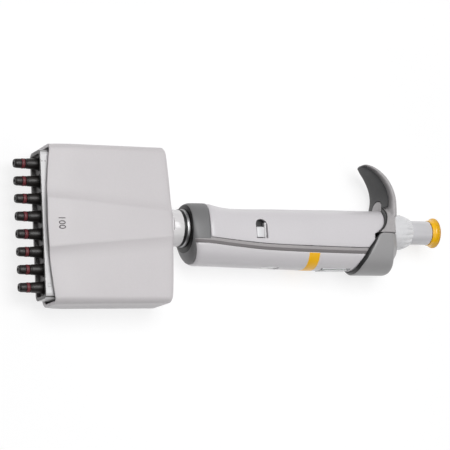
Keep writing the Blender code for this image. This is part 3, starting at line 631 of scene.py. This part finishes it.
# nose cones with their seal rings and springs
CONE = [(44.0, 2.2), (44.0, 3.2, 0.3), (31.4, 3.2, 0.2), (31.4, 4.1, 0.25), (28.9, 4.1, 0.25), (28.9, 3.2, 0.2),
        (13.1, 3.2, 0.8), (12.3, 3.02, 0.5), (9.6, 2.78, 0.6), (6.9, 2.64, 0.3), (6.6, 2.5, 0.1), (6.25, 2.5, 0.1),
        (5.95, 2.6, 0.12), (5.75, 2.56, 0.1), (5.75, 1.75, 0.05), (3.55, 1.75, 0.05), (3.55, 2.44, 0.12),
        (1.0, 2.34, 0.5), (0.0, 1.95, 0.35), (0.0, 0.8, 0.25), (1.6, 0.8), (26.0, 0.8), (26.0, 2.2)]
SEAL = [(5.55, 1.95, 0.1), (5.55, 2.52, 0.3), (4.65, 2.62, 0.5), (3.75, 2.5, 0.3), (3.75, 1.95, 0.1)]


def coil(name, x0, x1, radius, wire, turns, y, z, mat, per_turn=28, ring=10):
    """A compression spring with closed ends: the pitch is small over the first and last turn."""
    count = int(turns * per_turn) + 1
    rows = []
    lo, hi = x0 + wire, x1 - wire

    def rise(t):
        ends = 1.0 / turns
        flat = 2 * wire * 1.05 / (hi - lo)
        if t < ends:
            return flat * t / ends
        if t > 1 - ends:
            return 1 - flat * (1 - t) / ends
        return flat + (1 - 2 * flat) * (t - ends) / (1 - 2 * ends)
    for i in range(count):
        t = i / (count - 1)
        a = 2 * math.pi * turns * t
        centre = (lo + (hi - lo) * rise(t), radius * math.cos(a), radius * math.sin(a))
        row = []
        for k in range(ring):
            b = 2 * math.pi * k / ring
            rr = radius + wire * math.cos(b)
            row.append(P(centre[0] + wire * math.sin(b), y + rr * math.cos(a), z + rr * math.sin(a)))
        rows.append(row)
    return shade(grid(name, rows, [mat], close_cols=True, cap_first=True, cap_last=True), 50)


for i in range(CHANNELS):
    y = channel_y(i)
    ride(lathe(f"cone_shell_{i + 1}", CONE, ["cone"], 48, y, ring=True), f"cone_{i + 1}", f"nose_cone_{i + 1}",
         slot="black_plastic")
    ride(lathe(f"seal_ring_{i + 1}", SEAL, ["seal"], 48, y, ring=True), f"cone_{i + 1}", f"tip_seal_{i + 1}",
         slot="seal_red")
    spring = coil(f"cone_coil_{i + 1}", 31.7, 40.7, 3.75, 0.25, 3.5, y, 0.0, "spring", 20, 8)
    ride(spring, "head", f"cone_spring_{i + 1}", slot="steel")
    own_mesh(spring)

# ================================================================ neck and swivel
neck = lathe("neck_barrel", [(96.6, 6.5), (96.6, 8.0, 0.3), (88.6, 8.0, 0.1), (88.6, 9.6, 0.45), (77.9, 9.6, 0.1), (77.9, 6.5)],
             ["neck"], 96, ring=True)
flange = box("neck_plate", (77.0, -14.0, -8.5), (78.8, 14.0, 8.5), ["neck"], 0.3)
cut(flange, rod("plate_bore", 70.0, 90.0, 7.4, 0.0, 0.0, []))
cut(neck, box("slot", (81.45, -2.6, 8.2), (82.75, 4.8, 12.0), [], 0.45, 2))
bevel(neck, 0.12, 2, 55)
ride(neck, "head", "neck_tube", slot="light_plastic")
ride(flange, "head", slot="light_plastic")
# painted shade: a black floor under the neck's slot, standing for the shade inside the recess
slot_shade_floor = box("slot_shade_floor", (81.0, -3.2, 6.9), (83.2, 5.4, 8.0), ["black"], 0.1)
ride(slot_shade_floor, "head")
ride(lathe("dark_ring_front", [(89.6, 8.1), (89.6, 9.88, 0.35), (88.2, 9.88, 0.35), (88.2, 9.3), (88.65, 8.1)], ["black"], 96,
           ring=True), "head", slot="black_plastic")
ride(lathe("swivel_band", [(91.5, 8.3), (91.5, 9.95, 0.5), (89.65, 9.95, 0.5), (89.65, 8.3)], ["silver"], 96, ring=True,
           fillets=6), "head", "swivel_ring", slot="steel")

# ================================================================ handle
def collar_edge(y):
    return 1.8 * max(0.0, (y + 2.0) / 15.0) ** 2


def lower_edge(y):
    return 93.0 + 0.19 * max(0.0, -8.0 - y)


stations = [91.8, 91.9, 92.05, 92.2, 92.4, 92.65, 93.0, 93.4, 93.9, 94.5, 95.2, 96.0, 97.0, 98.5, 100.0, 101.5, 103.2, 105.0, 106.6, 108.2]


def collar_inset(x):
    return 0.5 * max(0.0, 1 - (x - 91.8) / 0.5) ** 2


collar = grid("collar", [section_ring(x, collar_inset(x)) for x in stations], ["collar", "black"], close_cols=True, cap_first=True,
              cap_last=True)
cut(collar, rod("collar_bore", 85.0, 97.2, 8.35, 0.0, 0.0, [], 96))
cut(collar, grid("hollow", [section_ring(x, 1.8) for x in (97.0, 99.0, 101.5, 105.0, 109.0)], [], close_cols=True,
                 cap_first=True, cap_last=True))
rear_line = [(101.2 + collar_edge(y), y) for y in [-30] + [-2 + 18 * k / 24 for k in range(25)]]
cut(collar, prism("rear_cut", rear_line + [(120.0, 16.0), (120.0, -30.0)], -20.0, 20.0, "XY", []))
cut(collar, prism("lower_cut", [(lower_edge(-7.2) - 0.3, -7.2), (112.0, -7.2), (112.0, -30.0), (lower_edge(-30.0) - 0.3, -30.0)],
                  -20.0, 20.0, "XY", []))
bevel(collar, 0.18, 2, 50)
# painted shade: the collar's nose-facing end faces get the black material, which stands for the shade on them
paint(collar, 1, lambda x, y, z, n: n.x < -0.75 and x < 92.1)
ride(collar, "handle", "handle_chassis", slot="dark_plastic")

for side, label in ((1, "front"), (-1, "rear")):
    rows = []
    for k in range(73):
        x = 92.3 + (198.4 - 92.3) * (k / 72) ** 1.25
        s = smooth_at(STRIPE, x)[0]
        rows.append([section_side(x, s + d, i, side) for d, i in
                     ((-1.55, 0.34), (-1.45, 0.22), (-0.12, 0.02), (-0.05, 0.06), (0.05, 0.06), (0.12, 0.06), (1.45, 0.26), (1.55, 0.38),
                      (1.5, 3.2), (-0.4 + 0.17 * max(0.0, 98.0 - x), 3.2))])
    rail = shade(grid(f"rail_{label}", rows, ["rail_up", "rail_low_shaded"], close_cols=True, cap_first=True, cap_last=True), 30)
    # painted shade: the rail's lower half, below the stripe's middle line, is a darker copy of the upper grey
    paint(rail, 1, lambda x, y, z, n: y < smooth_at(STRIPE, x)[0] - 0.02)
    ride(rail, "handle", slot="dark_plastic")
for label, x0, x1, r in (("front", 115.5, 117.8, 2.4), ("rear", 196.4, 198.2, 4.6)):
    plate = grid(f"bulkhead_{label}", [section_ring(x, i) for x, i in ((x0, 2.5), (x0 + 0.3, 2.2), (x1 - 0.3, 2.2), (x1, 2.5))],
                 ["inner"], close_cols=True, cap_first=True, cap_last=True)
    cut(plate, rod("rod_hole", x0 - 2, x1 + 2, r, 0.0, 0.0, []))
    cut(plate, rod("eject_hole", x0 - 2, x1 + 2, 1.85, -4.6, -7.8, []))
    ride(shade(plate), "handle", slot="dark_plastic")


def shell(name, start, end, low_y, high_side, mats, nu, nv, dip=None):
    """One half of the handle: an open skin thickened inwards."""
    rows = []
    for k in range(nv):
        row = []
        for j in range(nu):
            t = j / (nu - 1)
            t = t ** 1.0
            x = start(0.0) + (end(0.0) - start(0.0)) * t
            for _ in range(4):
                a0 = low_y(x)
                a1 = math.pi - a0 if high_side else -math.pi - a0
                a = a0 + (a1 - a0) * k / (nv - 1)
                y = section_point(x, a).y / MM
                x = start(y) + (end(y) - start(y)) * t
            a0 = low_y(x)
            a1 = math.pi - a0 if high_side else -math.pi - a0
            a = a0 + (a1 - a0) * k / (nv - 1)
            row.append(section_point(x, a, dip(x - start(y), end(y) - x, k / (nv - 1)) if dip else 0.0))
        rows.append(row)
    obj = grid(name, rows, mats)
    axis_y = -5 * MM
    if sum(((f.center.y - axis_y) * f.normal.y + (f.center.z - REST * MM) * f.normal.z) * f.area for f in obj.data.polygons) < 0:
        obj.data.flip_normals()
    wall = obj.modifiers.new("wall", "SOLIDIFY")
    wall.thickness = 1.8 * MM
    wall.offset = -1.0
    wall.use_even_offset = True
    return settle(obj, 30)


def edge_dip(front, rear, across):
    """The skin turns in slightly at its edges, as a moulded shell does."""
    d = 0.0
    if front < 2.2:
        d += 0.55 * (1 - front / 2.2) ** 2
    if rear < 0.8:
        d += 0.2 * (1 - rear / 0.8) ** 2
    side = min(across, 1 - across)
    if side < 0.03:
        d += 0.16 * (1 - side / 0.03) ** 2
    return d


upper = shell("upper_half", lambda y: 101.7 + collar_edge(y), lambda y: smooth_at(UPPER_REAR, y)[0] + 0.5 * min(1.0, max(0.0, (y + 1.9) / 2.0)),
              lambda x: section_angle(x, smooth_at(STRIPE, x)[0] + 1.75), True, ["shell", "inner"], 110, 61, edge_dip)


def arch(x0, x1, y0, y1, r):
    """An arch-shaped outline, its round end towards +Y and +X."""
    points = [(x1, y0), (x1, y1 - r)]
    cx, cy = (x0 + x1) / 2, y1 - r
    half = (x1 - x0) / 2
    for k in range(1, 24):
        a = math.pi * k / 24
        points.append((cx + half * math.cos(a), cy + r * math.sin(a)))
    points += [(x0, y1 - r), (x0, y0)]
    return points


cut(upper, prism("port", arch(128.0, 134.7, -6.5, 3.9, 3.3), 6.0, 16.0, "XY", []))
bevel(upper, 0.16, 2, 50)
ride(upper, "handle", "upper_shell", slot="light_plastic")
plug = box("port_plug", (128.65, -5.9, 8.9), (133.1, -0.3, 11.5), ["white"], 0.55, 4)
ride(plug, "handle", "adjuster_plug", slot="white_plastic")
ride(box("port_step", (133.35, -6.3, 8.6), (134.5, 2.0, 11.0), ["tray"], 0.3, 3), "handle")
ride(box("port_floor", (127.2, -7.2, 7.4), (135.6, 4.8, 8.5), ["dark"], 0.2, 2), "handle")

lower = shell("lower_half", lower_edge, lambda y: 199.0,
              lambda x: section_angle(x, smooth_at(STRIPE, x)[0] - 1.75 - 0.04 * max(0.0, 98.0 - x)), False, ["shell", "inner"], 140, 61,
              lambda f, r, a: edge_dip(f + 1.0, r, a))
cut(lower, box("window", (169.5, -25.0, -4.5), (187.2, -15.0, 4.5), [], 0.5, 3))
cut(lower, box("small_window", (134.4, -23.0, -3.6), (144.6, -19.6, 3.6), [], 0.5, 3))
bevel(lower, 0.16, 2, 50)
ride(lower, "handle", "lower_shell", slot="light_plastic")
ride(box("small_window_plate", (134.8, -20.35, -3.2), (144.2, -19.4, 3.2), ["white"], 0.3, 3), "handle")
lens = box("window_lens", (169.8, -21.5, -4.2), (186.9, -20.3, 4.2), ["lens"], 0.45, 4)
ride(lens, "handle", "display_lens", slot="lens")

# yellow band round the lower half
rows = []
for k in range(81):
    row = []
    for x, out in ((159.2, -0.1), (159.2, 0.02), (159.35, 0.05), (162.3, 0.05), (165.35, 0.05), (165.5, 0.02), (165.5, -0.1)):
        a0 = section_angle(x, smooth_at(STRIPE, x)[0] - 1.95)
        a = a0 + (-math.pi - 2 * a0) * k / 80
        row.append(section_point(x, a, -out))
    rows.append(row)
ride(shade(grid("volume_band", rows, ["band"], close_cols=True, cap_first=True, cap_last=True)), "handle", slot="yellow_plastic")

# number wheels: figures stand along the axle, 36 degrees apart, and zero or five faces the window at rest
for label, x0, first in (("units", 170.4, 0), ("tens", 175.8, 5), ("hundreds", 181.2, 0)):
    body = f"{label}_wheel"
    if label != "units":
        ride(lathe(f"{label}_drum", [(x0 + 5.0, 1.5), (x0 + 5.0, 6.2, 0.25), (x0, 6.2, 0.25), (x0, 1.5)], ["white"], 64,
                   -12.5, ring=True), body, body, slot="white_plastic")
    for d in range(10):
        phi = math.pi + 2 * math.pi * ((d - first) % 10) / 10

        def wrap(u, v, w, phi=phi, x0=x0):
            r = 6.19 + 0.03 * w
            a = phi + u / 6.2
            return P(x0 + 2.5 + v, -12.5 + r * math.cos(a), r * math.sin(a))
        ride(text_mesh(f"{label}_figure_{d}", str(d), 4.6, "digit", wrap), body)

# ================================================================ finger hook
def spline_points(points, per):
    """Catmull-Rom through points (tuples of equal length)."""
    out = []
    n = len(points)
    for i in range(n - 1):
        p0, p1, p2, p3 = points[max(0, i - 1)], points[i], points[i + 1], points[min(n - 1, i + 2)]
        for k in range(per):
            t = k / per
            out.append(tuple(0.5 * ((2 * b) + (-a + c) * t + (2 * a - 5 * b + 4 * c - d) * t * t
                                    + (-a + 3 * b - 3 * c + d) * t ** 3) for a, b, c, d in zip(p0, p1, p2, p3)))
    out.append(tuple(points[-1]))
    return out


def blade_ring(inner, outer, half, count, n, lead=1.6, back=0.0, widen=0.0):
    a, b = Vector(inner), Vector(outer)
    along = (b - a).normalized()
    a = a + along * lead
    if back:
        b = a + along * back
    mid, reach = (a + b) / 2, (b - a).length / 2
    ring = []
    for i in range(count):
        t = 2 * math.pi * (i + 0.5) / count
        u = math.copysign(abs(math.cos(t)) ** (2 / n), math.cos(t))
        v = math.copysign(abs(math.sin(t)) ** (2 / n), math.sin(t))
        q = mid + along * reach * u
        ring.append(P(q.x, q.y, (half + widen) * v))
    return ring


flat_blade = [(*i, *o, h) for i, o, h in BLADE]
curve = spline_points(flat_blade, 6)
blade_rows = [blade_ring(c[0:2], c[2:4], c[4], 56, 2.6) for c in curve]
# the rounded tip
tip = curve[-1]
for k in range(1, 6):
    a = math.pi / 2 * k / 6
    s, c = math.sin(a), math.cos(a)
    mid = Vector(((tip[0] + tip[2]) / 2, (tip[1] + tip[3]) / 2))
    ahead = Vector((-1.0, 0.35)).normalized()
    centre = mid + ahead * 1.5 * s
    half_gap = (Vector(tip[2:4]) - Vector(tip[0:2])) / 2 * c
    blade_rows.append(blade_ring(tuple(centre - half_gap), tuple(centre + half_gap), tip[4] * (0.12 + 0.88 * c), 56, 2.4,
                                 lead=1.6 * c))
blade = grid("hook_blade", blade_rows, [], close_cols=True, cap_first=True, cap_last=True)

front_line = spline_points([(201.2, -2.4), (202.6, -1.2), (205.0, 1.2), (207.0, 5.0), (208.5, 9.2), (209.1, 13.5)], 6)
hook = prism("hook_body", front_line + [(222.0, 13.5), (222.0, -2.4)], -16.0, 16.0, "XY", ["hook"])
cut(hook, grid("saddle", [section_ring(x, 0.0, 128, SADDLE) for x in (190.0, 225.0)], [], close_cols=True, cap_first=True,
               cap_last=True), "INTERSECT")
rear = [(190.0, -18.0), (190.0, 18.0)] + [(REAR_X - REAR_DROP * (z / 14.0) ** 2, z) for z in [18 - 36 * k / 48 for k in range(49)]]
cut(hook, prism("rear", rear, -20.0, 20.0, "XZ", []), "INTERSECT")
cut(hook, blade, "UNION")
cut(hook, rod("spindle_bore", 195.0, 215.0, 4.6, 0.0, 0.0, []))
cut(hook, rod("ring_bore", 212.3, 230.0, 9.9, 0.0, 0.0, [], 96))
remesh = hook.modifiers.new("remesh", "REMESH")
remesh.mode = "VOXEL"
remesh.voxel_size = 0.36 * MM
settle(hook, 60)
soften = hook.modifiers.new("soften", "SMOOTH")
soften.factor = 0.5
soften.iterations = 5
settle(hook, 60)
hook.data.materials.clear()
hook.data.materials.append(M["hook"])
ride(hook, "handle", "finger_hook", slot="mid_plastic")

# soft pad on the nose-facing side, with an arch left open above the shell
pad_rows = []
PAD_BASE = (208.4, 12.2, 215.7, 12.4, 11.9)
pad_curve = spline_points([PAD_BASE] + flat_blade[2:], 7)
for c in pad_curve:
    pad_rows.append(blade_ring(c[0:2], c[2:4], c[4], 56, 3.0, 0.0, 1.45, -0.75))
tip = pad_curve[-1]
for k in range(1, 6):
    a = math.pi / 2 * k / 6
    s, co = math.sin(a), math.cos(a)
    base = Vector(tip[0:2])
    ahead = Vector((-1.0, 0.55)).normalized()
    inner = base + ahead * 1.45 * s
    outer = inner + (Vector(tip[2:4]) - base)
    pad_rows.append(blade_ring(tuple(inner), tuple(outer), tip[4] * (0.16 + 0.84 * co), 56, 2.6, 0.0, 1.45 * (0.5 + 0.5 * co),
                               -0.75 * co))
pad = shade(grid("grip_pad", pad_rows, ["pad"], close_cols=True, cap_first=True, cap_last=True), 45)
arch_line = [(10.0, -5.9)] + [(11.7 + 5.4 * math.sin(math.pi * k / 24) ** 0.8, -0.65 - 5.25 * math.cos(math.pi * k / 24))
                              for k in range(25)] + [(10.0, 4.6)]
rows = [[P(x, y, z) for y, z in arch_line] for x in (204.0, 210.35)]
cut(pad, grid("arch_cut", rows, [], close_cols=True, cap_first=True, cap_last=True))
remesh = pad.modifiers.new("remesh", "REMESH")
remesh.mode = "VOXEL"
remesh.voxel_size = 0.26 * MM
settle(pad, 60)
soften = pad.modifiers.new("soften", "SMOOTH")
soften.factor = 0.5
soften.iterations = 4
settle(pad, 60)
ride(pad, "handle", "hook_pad", slot="soft_pad")
tongue_line = [(9.6, -5.55)] + [(11.6 + 5.15 * math.sin(math.pi * k / 24) ** 0.8, -0.65 - 4.9 * math.cos(math.pi * k / 24))
                                for k in range(25)] + [(9.6, 4.25)]
rows = [[P(x + 0.2 * (y - 12.4), y, z) for y, z in tongue_line] for x in (208.25, 210.4)]
tongue = grid("hook_tongue", rows, ["hook"], close_cols=True, cap_first=True, cap_last=True)
bevel(tongue, 0.35, 3, 50)
ride(tongue, "handle", slot="mid_plastic")

# dark strip along the saddle's front edge: painted shade on the hook's nose-facing edge
rows = []
edge_line = spline_points([(201.2, -2.4), (202.6, -1.2), (205.0, 1.2), (207.0, 5.0), (208.5, 9.2), (209.0, 12.2)], 8)
for side in (1, -1):
    rows = []
    for x, y in edge_line:
        top, bottom, half, middle = SADDLE
        reach = top - middle

        def wide(inset):
            return max(0.3, (half - inset) * max(0.0, 1 - min(1.0, abs(y - middle) / (reach - inset)) ** SQUARE) ** (1 / SQUARE))
        rows.append([P(x - 0.55, y + 0.2, side * wide(0.8)), P(x - 0.4, y + 0.12, side * wide(0.35)),
                     P(x + 0.15, y, side * wide(0.12)), P(x + 0.15, y, side * wide(1.9)), P(x - 0.55, y + 0.2, side * wide(1.9))])
    ride(shade(grid("shade_strip_front" if side > 0 else "shade_strip_rear", rows, ["dark"], close_cols=True, cap_first=True,
                    cap_last=True), 50), "handle", slot="soft_pad")

# ================================================================ ejector button
def button_surface(inset=0.0, forward=0.0, nk=97):
    rows = []
    a0 = section_angle(200, -2.7, BUTTON)
    for k in range(nk):
        a = a0 + (-math.pi - 2 * a0) * k / (nk - 1)
        p = section_point(200, a, 0.0, BUTTON)
        y, z = p.y / MM, p.z / MM - REST
        front = smooth_at(BUTTON_FRONT, y)[0]
        rear_x = REAR_X - REAR_DROP * (z / 14.0) ** 2 + smooth_at(BUTTON_REAR, y)[0]
        b0 = math.asin(-2.7 / 10.7)
        b = b0 + (-math.pi - 2 * b0) * k / (nk - 1)
        hole = (10.7 * math.sin(b), 10.7 * math.cos(b))
        row = []
        for s, d in ((0.0, 0.35), (0.35, 0.12), (0.9, 0.0)):
            q = section_point(200, a, d, BUTTON)
            row.append(P(front + s, q.y / MM, q.z / MM - REST))
        body = 9
        for j in range(1, body + 1):
            t = j / body
            row.append(P(front + 0.9 + (rear_x - 2.2 - front - 0.9) * t, y, z))
        for j in range(1, 7):
            t = math.pi / 2 * j / 6
            q = section_point(200, a, 2.2 * (1 - math.cos(t)), BUTTON)
            row.append(P(rear_x - 2.2 + 2.2 * math.sin(t), q.y / MM, q.z / MM - REST))
        last = row[-1]
        ly, lz = last.y / MM, last.z / MM - REST
        for share in (0.3, 0.65, 1.0):
            py, pz = ly + (hole[0] - ly) * share, lz + (hole[1] - lz) * share
            rx = REAR_X - REAR_DROP * (pz / 14.0) ** 2 + smooth_at(BUTTON_REAR, py)[0] * (1 - share * 0.6)
            row.append(P(rx if share > 0.5 else (rx + last.x / MM + OVERALL / 2) / 2, py, pz))
        rows.append(row)
    return rows


button = grid("eject_button", button_surface(), ["button", "inner"])
if sum((f.center - P(200, -6, 0)).dot(f.normal) * f.area for f in button.data.polygons) < 0:
    button.data.flip_normals()
wall = button.modifiers.new("wall", "SOLIDIFY")
wall.thickness = 1.5 * MM
wall.offset = -1.0
wall.use_even_offset = False
wall.material_offset = 1
wall.material_offset_rim = 0
settle(button, 30)
bevel(button, 0.2, 2, 50)
ride(button, "ejector_button", "ejector_button", slot="mid_plastic")

# its nose-facing lip, coloured near black: painted shade on the button's nose-facing edge
rows = []
a0 = section_angle(200, -3.1, BUTTON)
for k in range(97):
    a = a0 + (-math.pi - 2 * a0) * k / 96
    y = section_point(200, a, 0.0, BUTTON).y / MM
    front = smooth_at(BUTTON_FRONT, y)[0]
    low = min(1.0, max(0.0, (-4.0 - y) / 6.0))
    reach = 0.35 + 1.2 * low
    row = []
    for s, d in ((0.5, 0.36), (0.0, 0.30), (-0.25, 0.38), (-reach * 0.5, 0.75), (-reach, 1.35), (-reach - 0.15, 1.6),
                 (-reach + 0.1, 1.78), (0.5, 1.78)):
        q = section_point(200, a, d, BUTTON)
        row.append(P(front + s, q.y / MM, q.z / MM - REST))
    rows.append(row)
ride(shade(grid("eject_button_shade_lip", rows, ["dark"], close_cols=True, cap_first=True, cap_last=True), 45), "ejector_button",
     slot="dark_plastic")

# ================================================================ push button and volume ring
ride(lathe("button_top", [(243.5, 0.0), (243.5, 7.4, 0.5), (243.1, 8.2, 0.3), (242.2, 8.2, 0.25), (241.7, 7.5, 0.6),
                          (241.0, 7.1, 1.0), (239.0, 6.9, 0.3), (239.0, 0.0)], ["yellow", "cap_rim_shade"], 96, fillets=5), "push_button",
     "button_cap", slot="yellow_plastic")
# painted shade: the cap's flange rim gets a darker amber copy of the yellow, which stands for the shade on it
paint(bpy.data.objects["button_top"], 1, lambda x, y, z, n: 242.5 < x < 243.3 and math.hypot(y, z) > 8.0)
ride(lathe("push_stem", [(238.7, 0.0), (238.7, 6.6, 0.2), (226.0, 6.6, 0.2), (226.0, 5.4), (236.8, 5.4), (236.8, 2.0),
                         (139.7, 2.0), (139.7, 5.0, 0.3), (137.7, 5.0, 0.3), (137.7, 2.0), (86.3, 2.0, 0.4), (86.3, 0.0)],
           ["sleeve", "steel"], 96), "push_button", "push_rod", slot="white_plastic")
paint(bpy.data.objects["push_stem"], 1, lambda x, y, z, n: math.hypot(y, z) < 2.6 or x < 140)


FLUTES = 20


def flute(x, r, a):
    """Short hollows round the tapered end of the volume ring."""
    if r < 7.0 or x < 219.5:
        return r
    along = min(1.0, max(0.0, (x - 219.8) / 2.2)) * min(1.0, max(0.0, (226.0 - x) / 0.5))
    wave = 0.5 + 0.5 * math.cos(FLUTES * a)
    return r - 0.55 * along * wave ** 1.6


ring_profile = [(226.1, 6.9), (226.1, 7.55, 0.25)] + [(225.9 - 0.35 * k, 7.6 + 1.9 * min(1.0, 0.35 * k / 4.4) ** 0.8)
                                                     for k in range(1, 14)] + [
    (218.6, 9.5), (213.2, 9.5, 0.3), (212.8, 9.2, 0.2), (212.7, 4.7), (215.3, 4.7), (215.3, 6.9)]
ride(lathe("volume_knob", ring_profile, ["white"], 240, ring=True, radial=flute), "volume_ring", "volume_ring",
     slot="white_plastic")

# springs inside the handle
stroke = coil("stroke_coil", 118.1, 137.4, 3.4, 0.4, 6.0, 0.0, 0.0, "spring")
ride(stroke, "handle", "stroke_spring", slot="steel")
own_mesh(stroke)
eject = coil("eject_coil", 118.1, 138.7, 2.15, 0.28, 7.0, -4.6, -7.8, "spring", 24, 8)
ride(eject, "handle", "ejector_spring", slot="steel")
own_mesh(eject)

# carried-over CAD nodes and their finishes
for node, mat in (("cone_block", "inner"), ("ejector_yoke", "inner"), ("piston_bridge", "inner"), ("counter_axle", "steel"),
                  ("volume_spindle", "steel"), ("stop_nut", "white"), ("ejector_rod", "steel"), ("units_wheel", "white"),
                  *((f"piston_{i + 1}", "steel") for i in range(CHANNELS))):
    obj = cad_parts[node]
    obj.data.materials.clear()
    obj.data.materials.append(M[mat])

# ================================================================ stage, light and camera
floor_tree = Tree("pale_floor")
floor_tree.shader.inputs["Specular IOR Level"].default_value = 0.1
floor_tree.shader.inputs["Emission Color"].default_value = (1.0, 1.0, 1.0, 1.0)
floor_tree.shader.inputs["Emission Strength"].default_value = 0.74
floor_tree.link(floor_tree.mix(floor_tree.spread(floor_tree.noise(3.0, 3.0), 0.0, 1.0), (0.27, 0.27, 0.272), (0.29, 0.29, 0.292)),
                floor_tree.shader.inputs["Base Color"])
floor_tree.link(floor_tree.spread(floor_tree.noise(40.0, 3.0), 0.72, 0.82), floor_tree.shader.inputs["Roughness"])
bm = bmesh.new()
bmesh.ops.create_grid(bm, x_segments=2, y_segments=2, size=3.0)
floor_mesh = bpy.data.meshes.new("floor")
bm.to_mesh(floor_mesh)
bm.free()
floor = bpy.data.objects.new("floor", floor_mesh)
floor.location = (0, 0, -0.0002)
floor_mesh.materials.append(floor_tree.m)
bpy.context.scene.collection.objects.link(floor)

world = bpy.data.worlds.new("studio")
bpy.context.scene.world = world
world.use_nodes = True
wt = world.node_tree
background = wt.nodes["Background"]
coords = wt.nodes.new("ShaderNodeTexCoord")
ramp = wt.nodes.new("ShaderNodeMapRange")
ramp.inputs["From Min"].default_value, ramp.inputs["From Max"].default_value = -0.8, 0.5
ramp.inputs["To Min"].default_value, ramp.inputs["To Max"].default_value = 0.04, 0.30
slant = wt.nodes.new("ShaderNodeVectorMath")
slant.operation = "DOT_PRODUCT"
slant.inputs[1].default_value = (0.55, 0.75, 0.0)
wt.links.new(coords.outputs["Generated"], slant.inputs[0])
wt.links.new(slant.outputs["Value"], ramp.inputs["Value"])
wt.links.new(ramp.outputs["Result"], background.inputs["Strength"])
background.inputs["Color"].default_value = (1.0, 1.0, 1.0, 1.0)

centre = P(OVERALL / 2, 0, 0)


def area(name, place, target, size, power, size_y=None):
    light = bpy.data.lights.new(name, "AREA")
    light.shape = "RECTANGLE"
    light.size, light.size_y = size, size_y or size
    light.energy = power
    obj = bpy.data.objects.new(name, light)
    obj.location = place
    obj.rotation_mode = "QUATERNION"
    obj.rotation_quaternion = (Vector(target) - Vector(place)).to_track_quat("-Z", "Y")
    bpy.context.scene.collection.objects.link(obj)
    return obj


area("key", (-0.02, 0.20, 1.22), centre, 0.8, 11.8)
area("fill", (0.5, -0.5, 0.95), centre, 0.7, 1.2)

look = Vector((0.432839, 0.161667, -0.886856))
right = Vector((0.901272, -0.056925, 0.429498))
up = Vector((-0.018951, 0.985202, 0.170345))
cam_data = bpy.data.cameras.new("camera")
cam_data.lens = 160.26
cam_data.sensor_width = 36.0
cam_data.clip_start, cam_data.clip_end = 0.01, 20.0
cam = bpy.data.objects.new("camera", cam_data)
rotation = Matrix((right, up, -look)).transposed()
cam.matrix_world = Matrix.Translation(P(-338.831, -167.608, 931.655)) @ rotation.to_4x4()
bpy.context.scene.collection.objects.link(cam)
bpy.context.scene.camera = cam
bpy.context.scene.view_settings.view_transform = "Standard"
